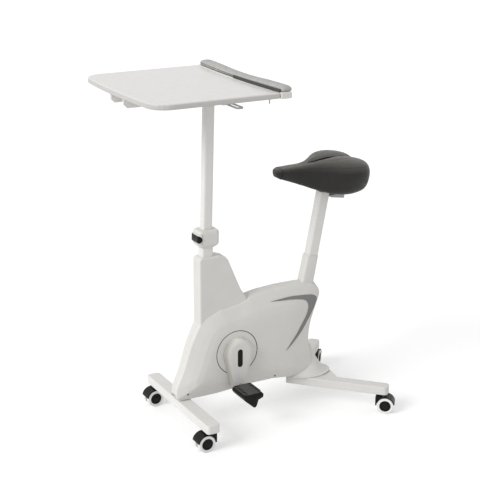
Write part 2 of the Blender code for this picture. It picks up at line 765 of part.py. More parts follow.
def flywheel(spin):
    """The heavy wheel, with the small belt pulley turned on its hub."""
    rim, bore = FLYWHEEL_DIAMETER / 2, FLYWHEEL_AXLE_DIAMETER / 2 + GAP
    half, web, hub = FLYWHEEL_WIDTH / 2, 0.004, 0.013
    small = SMALL_PULLEY_DIAMETER / 2
    pulley_low, pulley_high = PULLEY_Y - PULLEY_WIDTH / 2, PULLEY_Y + PULLEY_WIDTH / 2
    rim_inside = rim - 0.020
    profile = [(bore, half), (hub, half), (hub, web), (rim_inside, web), (rim_inside, half), (rim, half),
               (rim, -half), (rim_inside, -half), (rim_inside, -web), (hub, -web), (hub, -pulley_low),
               (small, -pulley_low), (small, -pulley_high), (bore, -pulley_high)]
    wheel = turned("flywheel", profile, "cast_iron", steps=32, closed=True)
    attach(wheel, (FLYWHEEL_X, 0, FLYWHEEL_Z), spin, UPRIGHT)


def flywheel_axle():
    near, far = fork_faces()
    overhang = FORK_THICKNESS + 0.001
    length = far - near + 2 * overhang
    axle = rod("flywheel_axle", FLYWHEEL_AXLE_DIAMETER / 2, length, "steel", 16, chamfer=0.0006)
    attach(axle, (FLYWHEEL_X, (near + far) / 2, FLYWHEEL_Z), ROOT, UPRIGHT)


def drive_belt():
    first, second = (CRANK_X, CRANK_Z), (FLYWHEEL_X, FLYWHEEL_Z)
    loops = []
    for lift in (GAP + BELT_THICKNESS, GAP):
        loops.append(belt_outline(first, DRIVE_PULLEY_DIAMETER / 2 + lift,
                                  second, SMALL_PULLEY_DIAMETER / 2 + lift))
    belt = extruded("drive_belt", loops, PULLEY_WIDTH - 0.001, "belt_rubber")
    attach(belt, (0, PULLEY_Y, 0), ROOT, UPRIGHT)


def brake_arm():
    """The magnet shoe over the flywheel's rim, on a strut from the seat tube."""
    inner = FLYWHEEL_DIAMETER / 2 + BRAKE_CLEARANCE
    outer = inner + BRAKE_THICKNESS
    centre = (FLYWHEEL_X, FLYWHEEL_Z)
    seat_front = -SEAT_TUBE_DEPTH / 2 / math.cos(SEAT_LEAN) - GAP
    strut_low = FLYWHEEL_Z + outer * math.sin(math.radians(18))
    strut_high = strut_low + 0.018
    outline = arc(centre, inner, 100, 14, 8)
    outline += [(seat_x(strut_low) + seat_front, strut_low), (seat_x(strut_high) + seat_front, strut_high)]
    outline += arc(centre, outer, 38, 100, 6)
    arm = extruded("brake_arm", [outline], BRAKE_WIDTH, "steel")
    attach(arm, (0, 0, 0), ROOT, UPRIGHT)


# Body shell

# Side view of the body, as smooth stretches of (x, height over the bars) that run anticlockwise from the
# front bottom corner. Each stretch starts where the one before it ends.
BODY_BOTTOM = [(-0.030, 0.0055), (-0.012, 0.001), (0.036, 0.001), (0.091, 0.002), (0.144, 0.006),
               (0.228, 0.013), (0.258, 0.014), (0.327, 0.006), (0.390, 0.002), (0.430, 0.002)]
BODY_REAR = [(0.430, 0.002), (0.424, 0.036), (0.416, 0.070), (0.410, 0.110), (0.411, 0.142), (0.419, 0.180),
             (0.434, 0.222), (0.444, 0.249), (0.445, 0.264), (0.437, 0.280), (0.419, 0.290)]
BODY_TOP = [(0.419, 0.290), (0.375, 0.294), (0.307, 0.294), (0.250, 0.290), (0.208, 0.283), (0.175, 0.271),
            (0.142, 0.265), (0.110, 0.261), (0.072, 0.246)]
BODY_FRONT = [(0.072, 0.246), (0.057, 0.236), (0.045, 0.221), (0.032, 0.195), (0.016, 0.158), (-0.004, 0.095),
              (-0.020, 0.058), (-0.028, 0.037), (-0.030, 0.0055)]
# Side view of the tower, clear of the body below, as (x, height over the bars)
TOWER_OUTLINE = [(0.052, 0.170), (0.215, 0.240), (0.197, 0.288), (0.181, 0.311), (0.172, 0.331),
                 (0.147, 0.390), (0.140, 0.407), (0.130, 0.419), (0.112, 0.424), (0.0555, 0.425),
                 (0.0485, 0.421), (0.0475, 0.414), (0.0475, 0.230)]
LEG_COVER_X = 0.420
LEG_COVER_PROFILE = [(0, 0.095), (0.011, 0.088), (0.019, 0.066), (0.028, 0.046), (0.040, 0.0270),
                     (0.052, 0.0130), (0.064, 0.0048), (0.074, 0.0022), (0.074, 0.0008), (0, 0.0008)]
LEG_COVER_SQUASH = 0.74
STRIPE_OUTER = [(0.272, 0.262), (0.304, 0.264), (0.338, 0.266), (0.372, 0.264), (0.413, 0.259),
                (0.433, 0.247), (0.431, 0.229), (0.418, 0.203), (0.401, 0.177), (0.381, 0.149),
                (0.350, 0.119), (0.323, 0.099)]
STRIPE_INNER = [(0.340, 0.118), (0.364, 0.146), (0.377, 0.166), (0.394, 0.191), (0.401, 0.209),
                (0.403, 0.226), (0.393, 0.244), (0.372, 0.252), (0.338, 0.257), (0.304, 0.259)]
# How the side swells from its edge to its middle, as (share of the outline's size, share of the swell)
BODY_SWELL = [(0.86, 0.42), (0.72, 0.80), (0.60, 0.96), (0.51, 1.0)]


def body_outline():
    points = []
    for stretch, per_span in ((BODY_BOTTOM, 2), (BODY_REAR, 2), (BODY_TOP, 1), (BODY_FRONT, 2)):
        points += spline_points([(x, BAR_TOP + z) for x, z in stretch], per_span)[:-1]
    return points


def edge_width(x):
    """Half the body's width at its edge: narrow at the front, a little wider behind."""
    reach = min(max((x + 0.03) / 0.15, 0.0), 1.0)
    return SHELL_FRONT_WIDTH + (SHELL_REAR_WIDTH - SHELL_FRONT_WIDTH) * reach


def crowned(z, share):
    """A height on the body's edge, lifted near its top by a share of the crown."""
    nearness = min(max((z - BAR_TOP - 0.235) / 0.045, 0.0), 1.0)
    return z + SHELL_CROWN * share * nearness


def body_half(name, side, shrink=0.0, grow=0.0, past=0.0):
    """Half the body as a swelling loft, from the middle plane out to its side.

    It is drawn in by shrink all round, pushed out sideways by grow and carried past the middle plane.
    """
    edge = body_outline()
    if shrink:
        edge = inset(edge, shrink)
    radius = SHELL_EDGE_RADIUS - shrink
    rounding = inset(edge, radius * 0.3)
    face = inset(edge, radius)
    centre = (CRANK_X, CRANK_Z)
    rings = [[(x, side * (GAP / 2 - past), crowned(z, 1.0)) for x, z in edge],
             [(x, side * SHELL_FRONT_WIDTH / 3, crowned(z, 0.75)) for x, z in edge]]
    for outline, drop in ((edge, radius), (rounding, radius * 0.3), (face, 0.0)):
        rings.append([(x, side * (edge_width(x) - drop - shrink + grow), z) for x, z in outline])
    for factor, swell in BODY_SWELL[::2] if shrink else BODY_SWELL:
        ring = []
        for x, z in scaled(face, factor, centre):
            width = edge_width(x) + (SHELL_MID_WIDTH - edge_width(x)) * swell
            ring.append((x, side * (width - shrink + grow), z))
        rings.append(ring)
    return loft(name, [[Vector(p) for p in ring] for ring in rings], "white_plastic")


def half_space(name, side):
    """A block that fills the other side of the middle plane."""
    depth = 0.2
    cutter = block(name, (1.2, depth, 1.2), "white_plastic")
    return attach(cutter, (0.2, -side * (depth / 2 - GAP / 2), 0.3), ROOT)


def tower(name, side, shrink=0.0, past=0.0):
    outline = [(x, BAR_TOP + z) for x, z in TOWER_OUTLINE]
    width = TOWER_WIDTH
    if shrink:
        outline = inset(outline, shrink)
        width -= shrink
    thickness = width - GAP / 2 + past
    piece = extruded(name, [outline], thickness, "white_plastic")
    return attach(piece, (0, side * (width - thickness / 2), 0), ROOT, UPRIGHT)


def leg_cover(name, shrink=0.0):
    """The low flare of the shell where the rear legs meet."""
    profile = [(max(r - shrink, 0), BAR_TOP + z - shrink) for r, z in LEG_COVER_PROFILE]
    bell = turned(name, profile, "white_plastic", steps=28)
    bell.scale = (1.0, LEG_COVER_SQUASH, 1.0)
    return attach(bell, (LEG_COVER_X, 0, 0), ROOT)


def shell_halves():
    """The left half is cut to shape and mirrored for the right half; only the left has screws."""
    left = left_shell()
    bpy.context.view_layer.update()
    depsgraph = bpy.context.evaluated_depsgraph_get()
    mesh = bpy.data.meshes.new_from_object(left.evaluated_get(depsgraph))
    bm = bmesh.new()
    bm.from_mesh(mesh)
    bpy.data.meshes.remove(mesh)
    bmesh.ops.scale(bm, vec=(1, -1, 1), verts=bm.verts)
    right = smooth(from_bmesh("shell_right", bm, "white_plastic"))
    attach(right, (0, 0, 0), ROOT)
    for number, (x, z) in enumerate(SCREW_PLACES):
        cut(left, screw_hole(f"screw_hole_{number}", x, z))


def left_shell():
    """Body, tower and flare in one, hollowed and cut for everything that passes through."""
    side = -1
    shell = body_half("shell_left", side, past=0.002)
    attach(shell, (0, 0, 0), ROOT)
    own_tower = tower("shell_tower", side, past=0.0045)
    soften(own_tower, TOWER_EDGE_RADIUS, 2)
    join(shell, own_tower)
    join(shell, leg_cover("leg_cover"))
    cut(shell, half_space("middle_plane", side))
    cut(shell, attach(body_half("body_inside", side, SHELL_WALL, 0.0, 0.005), (0, 0, 0), ROOT))
    cut(shell, tower("tower_inside", side, SHELL_WALL, 0.005))
    cut(shell, leg_cover("leg_cover_inside", SHELL_WALL))
    opening = rod("crank_opening", CRANK_DISC_DIAMETER / 2 + RUNNING_GAP, 0.03, "white_plastic", 40)
    cut(shell, attach(opening, (CRANK_X, side * SHELL_MID_WIDTH, CRANK_Z), ROOT, UPRIGHT))
    beam_slot = block("beam_slot", (0.46, BEAM_WIDTH + 2 * BEAM_SLOT_CLEARANCE, 0.026), "white_plastic")
    cut(shell, attach(beam_slot, (0.200, 0, BAR_TOP + 0.006), ROOT))
    mast_hole = leaning_tube("mast_hole", (MAST_DEPTH + 2 * GAP, MAST_WIDTH + 2 * GAP), MAST_WALL,
                             BAR_TOP + 0.35, BAR_TOP + 0.50, mast_x, MAST_LEAN, "white_plastic", ROOT, True)
    cut(shell, mast_hole)
    seat_hole = leaning_tube("seat_hole", (SEAT_POST_DEPTH + 0.002, SEAT_POST_WIDTH + 0.002),
                             SEAT_POST_WALL, SEAT_TUBE_TOP - 0.002, BAR_TOP + 0.36, seat_x,
                             SEAT_LEAN, "white_plastic", ROOT, True)
    return cut(shell, seat_hole)


def accent_stripe(side):
    """The crescent on the shell's rear, following the shell's surface."""
    name = side_name(side)
    start, tip = STRIPE_OUTER[0], STRIPE_OUTER[-1]
    outer = spline_points([(x, BAR_TOP + z) for x, z in STRIPE_OUTER], 2)
    inner = spline_points([(x, BAR_TOP + z) for x, z in [tip] + STRIPE_INNER + [start]], 2)[1:-1]
    stripe = extruded("accent_" + name, [outer + inner], 0.04, "grey_accent")
    attach(stripe, (0, side * 0.03, 0), ROOT, UPRIGHT)
    skin = body_half("accent_outside_" + name, side, 0.0, GAP + STRIPE_THICKNESS)
    combine(stripe, attach(skin, (0, 0, 0), ROOT), "INTERSECT")
    cut(stripe, attach(body_half("accent_inside_" + name, side, 0.0, GAP, 0.005), (0, 0, 0), ROOT))


# Side view of the two screws in the left shell, as (x, height over the bars)
SCREW_PLACES = [(0.004, 0.021), (0.291, 0.021)]


def screw_seat(x):
    """How far a screw's seat is from the middle plane."""
    return edge_width(x) + 0.0006


def screw_hole(name, x, z):
    """A spot face and a clearance hole for one screw."""
    head, shank = SCREW_DIAMETER / 2 + GAP, SCREW_DIAMETER / 4 + GAP
    hole = turned(name, [(0, 0.02), (head, 0.02), (head, 0), (shank, 0), (shank, -0.02), (0, -0.02)],
                  "steel", steps=12)
    return attach(hole, (x, -screw_seat(x), BAR_TOP + z), ROOT, UPRIGHT)


def shell_screw(name, x, z):
    """A small pan-head screw in the shell's left side."""
    head, shank = SCREW_DIAMETER / 2, SCREW_DIAMETER / 4
    profile = [(0, 0.0018), (head * 0.7, 0.0018), (head, 0.0008), (head, GAP), (shank, GAP),
               (shank, -SCREW_LENGTH), (0, -SCREW_LENGTH)]
    screw = turned(name, profile, "steel", steps=12)
    attach(screw, (x, -screw_seat(x), BAR_TOP + z), ROOT, UPRIGHT)


# Crank and pedals


# How far the arm's outline is drawn in on the way out, as (distance, share of the thickness)
CRANK_EDGE = [(0.0, 0.0), (0.0005, 0.46), (0.002, 0.70), (0.0055, 0.87), (0.0105, 0.965), (0.016, 1.0)]


def arm_outline():
    """A teardrop from the crank's hub down to the pedal's spindle, centred on the hub."""
    tilt = math.degrees(math.asin((CRANK_HUB_RADIUS - CRANK_TIP_RADIUS) / CRANK_LENGTH))
    points = arc((0, 0), CRANK_HUB_RADIUS, -tilt, 180 + tilt, 20)
    points += arc((0, -CRANK_LENGTH), CRANK_TIP_RADIUS, 180 + tilt, 360 - tilt, 12)
    return points


def pedal_level(side):
    """The height of a pedal's spindle: the left crank points down and the right one up."""
    return CRANK_Z + side * CRANK_LENGTH


def opposed(side):
    """UPRIGHT for the left crank's pieces, and turned half round the axle for the right one's."""
    return (UPRIGHT[0], math.radians(90 * (1 + side)), 0.0)


def cap_outline(margin):
    radius = CAP_WIDTH / 2 + margin
    straight = CAP_LENGTH - CAP_WIDTH
    return arc((0, 0), radius, 0, 180, 8) + arc((0, -straight), radius, 180, 360, 8)


def crank_side(side, crank):
    name = side_name(side)
    axle_radius = CRANK_AXLE_DIAMETER / 2 + GAP
    disc = extruded("crank_disc_" + name, [circle((0, 0), CRANK_DISC_DIAMETER / 2, 48),
                                           circle((0, 0), axle_radius, 24)],
                    CRANK_DISC_THICKNESS, "white_plastic")
    soften(disc, 0.001, 1)
    attach(disc, (CRANK_X, side * (DISC_FACE - CRANK_DISC_THICKNESS / 2), CRANK_Z), crank, UPRIGHT)

    rings = []
    for drawn_in, out in CRANK_EDGE:
        outline = inset(arm_outline(), drawn_in) if drawn_in else arm_outline()
        level = side * (ARM_INNER_FACE + out * CRANK_THICKNESS)
        rings.append([Vector((-side * x, level, -side * z)) for x, z in outline])
    arm = loft("crank_arm_" + name, rings, "white_plastic")
    attach(arm, (CRANK_X, 0, CRANK_Z), crank)
    socket = rod("axle_socket_" + name, axle_radius, CRANK_THICKNESS, "steel")
    socket_end = ARM_OUTER_FACE - CAP_DEPTH - CRANK_SOCKET_COVER + GAP
    cut(arm, attach(socket, (CRANK_X, side * (socket_end - CRANK_THICKNESS / 2), CRANK_Z), crank, UPRIGHT))
    pocket = extruded("cap_pocket_" + name, [cap_outline(GAP)], 2 * CAP_DEPTH, "white_plastic")
    cap_z = CRANK_Z - side * CAP_WIDTH / 2
    cut(arm, attach(pocket, (CRANK_X, side * ARM_OUTER_FACE, cap_z), crank, opposed(side)))
    cap = extruded("crank_cap_" + name, [cap_outline(0)], CAP_DEPTH - 0.001, "black_plastic")
    cap_middle = ARM_OUTER_FACE - CAP_DEPTH + GAP + (CAP_DEPTH - 0.001) / 2
    attach(cap, (CRANK_X, side * cap_middle, cap_z), crank, opposed(side))

    spindle_radius = PEDAL_SPINDLE_DIAMETER / 2
    hole = rod("spindle_socket_" + name, spindle_radius + GAP, CRANK_THICKNESS, "steel")
    cut(arm, attach(hole, (CRANK_X, side * (ARM_OUTER_FACE + 0.005), pedal_level(side)), crank, UPRIGHT))
    inner_end = ARM_OUTER_FACE + 0.005 - CRANK_THICKNESS / 2 + GAP
    outer_end = ARM_OUTER_FACE + PEDAL_STANDOFF + PEDAL_WIDTH - 0.008
    flange = (ARM_OUTER_FACE + GAP, ARM_OUTER_FACE + PEDAL_STANDOFF / 2)
    profile = [(0, outer_end), (spindle_radius, outer_end), (spindle_radius, flange[1]),
               (PEDAL_FLANGE_DIAMETER / 2, flange[1]), (PEDAL_FLANGE_DIAMETER / 2, flange[0]),
               (spindle_radius, flange[0]), (spindle_radius, inner_end), (0, inner_end)]
    spindle = turned("pedal_spindle_" + name, profile, "steel", steps=16)
    attach(spindle, (CRANK_X, 0, pedal_level(side)), crank, facing(side))


# Side view of a pedal round its spindle: a flat top and a weighted keel
PEDAL_OUTLINE = [(-0.037, 0.003), (-0.035, 0.010), (-0.030, 0.0125), (0.021, 0.0125), (0.026, 0.008),
                 (0.026, -0.001), (0.020, -0.005), (0.010, -0.008), (0.005, -0.024), (0.001, -0.030),
                 (-0.005, -0.030), (-0.012, -0.024), (-0.032, -0.006)]
STRAP_SLOT = (0.0035, 0.030)
STRAP_SLOT_X = (-0.029, 0.019)


def pedal(side, crank):
    name = side_name(side)
    middle = side * (ARM_OUTER_FACE + PEDAL_STANDOFF + PEDAL_WIDTH / 2)
    level = pedal_level(side)
    spin = pivot("pedal_" + name + "_spin", (CRANK_X, middle, level), crank)
    body = extruded("pedal_" + name, [PEDAL_OUTLINE], PEDAL_WIDTH, "dark_plastic")
    attach(body, (CRANK_X, middle, level), spin, UPRIGHT)
    soften(body, 0.0025, 2, 60)
    depth = PEDAL_WIDTH - 0.008 + GAP
    bore = rod("pedal_bore_" + name, PEDAL_SPINDLE_DIAMETER / 2 + GAP, depth + 0.01, "steel")
    bore_middle = side * (ARM_OUTER_FACE + PEDAL_STANDOFF + (depth - 0.01) / 2)
    cut(body, attach(bore, (CRANK_X, bore_middle, level), spin, UPRIGHT))
    for number, x in enumerate(STRAP_SLOT_X):
        slot = block(f"strap_slot_{name}_{number}", (*STRAP_SLOT, 0.05), "dark_plastic")
        cut(body, attach(slot, (CRANK_X + x, middle, level), spin))


# Seat


def seat_point(z):
    return (seat_x(z), 0, z)


def seat_post(slide):
    leaning_tube("seat_post", (SEAT_POST_DEPTH, SEAT_POST_WIDTH), SEAT_POST_WALL, SEAT_POST_FOOT,
                 SEAT_POST_HEAD, seat_x, SEAT_LEAN, "white_paint", slide)


def gas_spring(slide):
    """The lift inside the seat post: its rod stands on the beam and its cylinder hangs from the head."""
    lean = (0, SEAT_LEAN, 0)
    rise = math.cos(SEAT_LEAN)
    rod_middle = BEAM_TOP + GAS_ROD_FOOT + GAS_ROD_LENGTH / 2 * rise
    piece = rod("gas_spring_rod", GAS_ROD_DIAMETER / 2, GAS_ROD_LENGTH, "steel", 16, chamfer=0.0006)
    attach(piece, seat_point(rod_middle), ROOT, lean)
    outer, inner = GAS_CYLINDER_DIAMETER / 2, GAS_ROD_DIAMETER / 2 + GAP
    half = GAS_CYLINDER_LENGTH / 2
    roof = half - 0.008
    profile = [(0, half), (outer, half), (outer, -half), (inner, -half), (inner, roof), (0, roof)]
    cylinder = turned("gas_spring_cylinder", profile, "black_plastic", steps=20)
    attach(cylinder, seat_point(SEAT_POST_HEAD - half * rise), slide, lean)


# Along the saddle: x behind the post's head, half width, top and underside over the post's head
SADDLE_STATIONS = [(-0.165, 0.010, 0.081, 0.067), (-0.160, 0.0185, 0.087, 0.061),
                   (-0.146, 0.0225, 0.089, 0.055), (-0.116, 0.0245, 0.090, 0.044),
                   (-0.077, 0.028, 0.091, 0.029), (-0.053, 0.037, 0.093, 0.019),
                   (-0.034, 0.052, 0.096, 0.012), (-0.017, 0.070, 0.098, 0.007),
                   (-0.002, 0.086, 0.100, 0.003), (0.014, 0.098, 0.102, 0.001),
                   (0.030, 0.105, 0.103, 0.000), (0.048, 0.108, 0.103, 0.000),
                   (0.069, 0.107, 0.101, 0.002), (0.089, 0.101, 0.097, 0.006),
                   (0.104, 0.089, 0.092, 0.013), (0.116, 0.071, 0.084, 0.023),
                   (0.1245, 0.046, 0.074, 0.034), (0.1275, 0.025, 0.066, 0.041)]
# Half of the saddle's cross section: share of the half width, share of the drop from top to underside
CUSHION_SECTION = [(0.0, 0.0), (0.22, 0.0), (0.48, 0.0), (0.72, 0.02), (0.88, 0.09), (0.97, 0.21),
                   (1.0, 0.36), (0.985, 0.52), (0.94, 0.68), (0.86, 0.85), (0.70, 0.97), (0.40, 1.0)]
CHANNEL_DEPTH = 0.007
CHANNEL_HALF_WIDTH = 0.009
CHANNEL_START = -0.060
NOTCH_DEPTH = 0.014
NOTCH_HALF_WIDTH = 0.022
NOTCH_START = 0.050
NOTCH_RUN = 0.050


def share_between(value, start, run):
    """How far a value has come from a start along a run, kept between 0 and 1."""
    return min(max((value - start) / run, 0.0), 1.0)


def saddle_cushion(slide):
    """The padded saddle: a narrow nose, wide wings, a channel along its top and a notch at the back."""
    head_x = seat_x(SEAT_POST_HEAD)
    rings = []
    for x, half_width, top, low in spline_points(SADDLE_STATIONS, 2):
        channel = CHANNEL_DEPTH * share_between(x, CHANNEL_START, 0.03)
        notch = NOTCH_DEPTH * share_between(x, NOTCH_START, NOTCH_RUN)
        half = []
        for across, down in CUSHION_SECTION:
            y = across * half_width
            z = top - down * (top - low)
            if down < 0.2:
                z -= channel * math.exp(-(y / CHANNEL_HALF_WIDTH) ** 2)
            back = notch * math.exp(-(y / NOTCH_HALF_WIDTH) ** 2)
            half.append(Vector((head_x + x - back, y, SEAT_POST_HEAD + z)))
        under = Vector((half[-1].x, 0, half[-1].z))
        mirrored = [Vector((p.x, -p.y, p.z)) for p in half[1:]]
        rings.append(half + [under] + mirrored[::-1])
    cushion = loft("saddle_cushion", rings, "saddle_leather")
    attach(cushion, (0, 0, 0), slide)
    pocket_top = SEAT_POST_HEAD + SEAT_HEAD_HEIGHT + SADDLE_BASE_HEIGHT + 2 * GAP
    pocket_low = SEAT_POST_HEAD - 0.03
    pocket_plan = saddle_base_outline(0.0004)
    pocket = extruded("saddle_pocket", [pocket_plan], pocket_top - pocket_low, "saddle_leather")
    cut(cushion, attach(pocket, (0, 0, (pocket_top + pocket_low) / 2), slide))


def saddle_base_outline(margin):
    """Plan of the saddle's base: narrow in front, wide behind."""
    half = [(-0.016, 0.030), (0.010, 0.050), (0.040, 0.060), (0.066, 0.058), (0.084, 0.042)]
    outline = [(seat_x(SEAT_POST_HEAD) + x, y + margin) for x, y in half]
    return [(x, -y) for x, y in outline] + outline[::-1]


def saddle_base(slide):
    low = SEAT_POST_HEAD + SEAT_HEAD_HEIGHT + GAP
    plate = extruded("saddle_base", [saddle_base_outline(0.0)], SADDLE_BASE_HEIGHT, "dark_plastic")
    attach(plate, (0, 0, low + SADDLE_BASE_HEIGHT / 2), slide)


def lever_pivot_point():
    """Where the seat lever turns: just behind the post's head."""
    return (seat_x(SEAT_POST_HEAD) + 0.025, 0, SEAT_POST_HEAD + 0.0012)


def seat_head(slide):
    """The plate welded on the post's head, with a small fork behind for the lever."""
    x = seat_x(SEAT_POST_HEAD)
    plate_top = SEAT_POST_HEAD + SEAT_HEAD_HEIGHT
    plate_low = plate_top - SEAT_PLATE_THICKNESS
    head = block("seat_head", (SEAT_PLATE_LENGTH, 0.042, SEAT_PLATE_THICKNESS), "dark_plastic")
    attach(head, (x - 0.014 + SEAT_PLATE_LENGTH / 2, 0, (plate_low + plate_top) / 2), slide)
    neck_top = plate_low + SEAT_PLATE_THICKNESS / 2
    neck_low = SEAT_POST_HEAD + GAP
    neck = leaning_tube("seat_neck", (SEAT_POST_DEPTH, SEAT_POST_WIDTH), SEAT_POST_WALL, neck_low, neck_top,
                        seat_x, SEAT_LEAN, "dark_plastic", slide, True)
    join(head, neck)
    eye_x, _, eye_z = lever_pivot_point()
    fork_front = eye_x - SEAT_LEVER_EYE - RUNNING_GAP - 0.001
    fork = block("lever_fork", (LEVER_FORK_LENGTH, LEVER_FORK_WIDTH, LEVER_FORK_DROP - 0.002), "dark_plastic")
    fork_middle = plate_top - 0.002 - (LEVER_FORK_DROP - 0.002) / 2
    join(head, attach(fork, (fork_front + LEVER_FORK_LENGTH / 2, 0, fork_middle), slide))
    slot_front = eye_x - SEAT_LEVER_EYE - RUNNING_GAP
    slot = block("lever_slot", (0.05, SEAT_LEVER_WIDTH + 2 * GAP, 0.05), "dark_plastic")
    cut(head, attach(slot, (slot_front + 0.025, 0, eye_z + SEAT_LEVER_EYE + GAP - 0.025), slide))
    pin_hole = rod("lever_pin_hole", SEAT_LEVER_PIN_DIAMETER / 2 + GAP, 2 * LEVER_FORK_WIDTH, "steel", 12)
    cut(head, attach(pin_hole, lever_pivot_point(), slide, UPRIGHT))


# Side view of the seat lever below its eye, round the eye's centre
SEAT_LEVER_OUTLINE = [(-0.0042, -0.0155), (-0.0005, -0.0215), (0.044, -0.0290), (0.0465, -0.0265),
                      (0.0465, -0.0165), (0.044, -0.0140), (0.0075, -0.0085), (0.0042, -0.0045)]


def seat_lever(slide):
    """The lever under the saddle, hanging from a pin in the seat head."""
    hinge = pivot("seat_lever_hinge", lever_pivot_point(), slide)
    outline = arc((0, 0), SEAT_LEVER_EYE, 0, 180, 8) + SEAT_LEVER_OUTLINE
    lever = extruded("seat_lever", [outline], SEAT_LEVER_WIDTH, "light_plastic")
    attach(lever, lever_pivot_point(), hinge, UPRIGHT)
    soften(lever, 0.0012, 1, 50)
    pin = rod("lever_pin", SEAT_LEVER_PIN_DIAMETER / 2, LEVER_FORK_WIDTH, "steel", 12)
    join(lever, attach(pin, lever_pivot_point(), hinge, UPRIGHT))


# Desk post, collar and desk


def post_foot():
    return COLLAR_TOP - POST_INSERTION * math.cos(MAST_LEAN)


def post_head():
    return post_foot() + POST_LENGTH * math.cos(MAST_LEAN)


def desk_post(slide):
    leaning_tube("desk_post", (POST_DEPTH, POST_WIDTH), POST_WALL, post_foot(), post_head(),
                 mast_x, MAST_LEAN, "white_paint", slide)


def post_collar():
    """The clamp on the mast's top: narrow underneath, full in the middle, drawn in at the top."""
    rings = []
    for share, depth_cut, width_cut in ((0.0, 0.017, 0.011), (0.10, 0.006, 0.004), (0.22, 0.0, 0.0),
                                        (0.84, 0.0, 0.0), (0.95, 0.003, 0.003), (1.0, 0.009, 0.008)):
        outline = rounded_rectangle(COLLAR_DEPTH - depth_cut, COLLAR_WIDTH - width_cut, COLLAR_CORNER, 4)
        rings.append([Vector((x, y, (share - 0.5) * COLLAR_HEIGHT)) for x, y in outline])
    collar = loft("post_collar", rings, "white_plastic")
    middle = (COLLAR_BOTTOM + COLLAR_TOP) / 2
    attach(collar, (mast_x(middle), 0, middle), ROOT, (0, MAST_LEAN, 0))
    mast_top = BEAM_TOP + MAST_RISE
    lower = leaning_tube("collar_lower_bore", (MAST_DEPTH + 2 * GAP, MAST_WIDTH + 2 * GAP), MAST_WALL,
                         COLLAR_BOTTOM - 0.01, mast_top + GAP, mast_x, MAST_LEAN, "white_plastic", ROOT, True)
    upper = leaning_tube("collar_upper_bore", (POST_DEPTH + 2 * GAP, POST_WIDTH + 2 * GAP), POST_WALL,
                         mast_top - 0.01, COLLAR_TOP + 0.01, mast_x, MAST_LEAN, "white_plastic", ROOT, True)
    cut(collar, lower)
    cut(collar, upper)
    recess = COLLAR_LEVER_DEPTH - COLLAR_LEVER_STANDOUT + COLLAR_LEVER_ROOM
    pocket_size = (2 * recess, 2 * COLLAR_WIDTH, COLLAR_LEVER_HEIGHT + 2 * COLLAR_LEVER_ROOM)
    pocket = block("lever_pocket", pocket_size, "white_plastic")
    cut(collar, attach(pocket, collar_front(), ROOT, (0, MAST_LEAN, 0)))


def collar_front():
    """The middle of the collar's front, level with its lever."""
    level = (COLLAR_BOTTOM + COLLAR_TOP) / 2 + COLLAR_LEVER_RISE
    return (mast_x(level) - COLLAR_DEPTH / 2 / math.cos(MAST_LEAN), 0, level)


def collar_lever():
    """The cam lever that wraps round the collar's front, hinged along its lower edge."""
    front = collar_front()
    back = COLLAR_LEVER_DEPTH - COLLAR_LEVER_STANDOUT
    grown = rounded_rectangle(COLLAR_DEPTH + 2 * COLLAR_LEVER_STANDOUT,
                              COLLAR_WIDTH + 2 * COLLAR_LEVER_STANDOUT,
                              COLLAR_CORNER + COLLAR_LEVER_STANDOUT, 4)
    wrap = [(u + COLLAR_DEPTH / 2, v) for u, v in grown if u + COLLAR_DEPTH / 2 < back - 0.0015]
    half_width = COLLAR_WIDTH / 2 + COLLAR_LEVER_STANDOUT
    outline = [(back, half_width)] + wrap + [(back, -half_width)]
    lever = extruded("collar_lever", [outline], COLLAR_LEVER_HEIGHT, "black_plastic")
    soften(lever, COLLAR_LEVER_ROUNDING, 3, 50)
    hinge_point = (front[0] + COLLAR_LEVER_DEPTH / 2 - COLLAR_LEVER_STANDOUT - 0.002, 0,
                   front[2] - COLLAR_LEVER_HEIGHT / 2 + 0.0045)
    hinge = pivot("collar_lever_hinge", hinge_point, ROOT)
    attach(lever, front, hinge, (0, MAST_LEAN, 0))


def desk_levels():
    """Undersides of the bracket's plate, the arms and the desktop, over the floor."""
    plate = post_head() + GAP
    arms = plate + PLATE_THICKNESS + GAP
    return plate, arms, arms + ARM_HEIGHT + GAP


def desk_bracket(slide):
    plate_low = desk_levels()[0]
    x = mast_x(post_head())
    width = 2 * ARM_Y + ARM_WIDTH + 0.012
    plate = extruded("desk_bracket", [rounded_rectangle(PLATE_LENGTH, width, 0.010)], PLATE_THICKNESS,
                     "white_paint")
    attach(plate, (x + 0.010, 0, plate_low + PLATE_THICKNESS / 2), slide)
    socket = rounded_rectangle(POST_DEPTH + 0.008, POST_WIDTH + 0.008, TUBE_CORNER + 0.003)
    skirt = extruded("post_socket", [socket], PLATE_SOCKET_HEIGHT + 0.002, "white_paint")
    skirt_middle = plate_low - PLATE_SOCKET_HEIGHT / 2 + 0.001
    join(plate, attach(skirt, (mast_x(skirt_middle), 0, skirt_middle), slide, (0, MAST_LEAN, 0)))
    bore = leaning_tube("socket_bore", (POST_DEPTH + 2 * GAP, POST_WIDTH + 2 * GAP), POST_WALL,
                        plate_low - 0.03, plate_low, mast_x, MAST_LEAN, "white_paint", slide, True)
    cut(plate, bore)
    ear = block("lever_ear", (LIFT_LEVER_SPREAD + 0.012, LIFT_EAR_WIDTH, LIFT_EAR_HEIGHT), "white_paint")
    ear_middle = plate_low + 0.001 - LIFT_EAR_HEIGHT / 2
    join(plate, attach(ear, (lift_lever_x(), LIFT_EAR_Y, ear_middle), slide))


def lift_lever_x():
    return mast_x(post_head()) + LIFT_LEVER_OFFSET


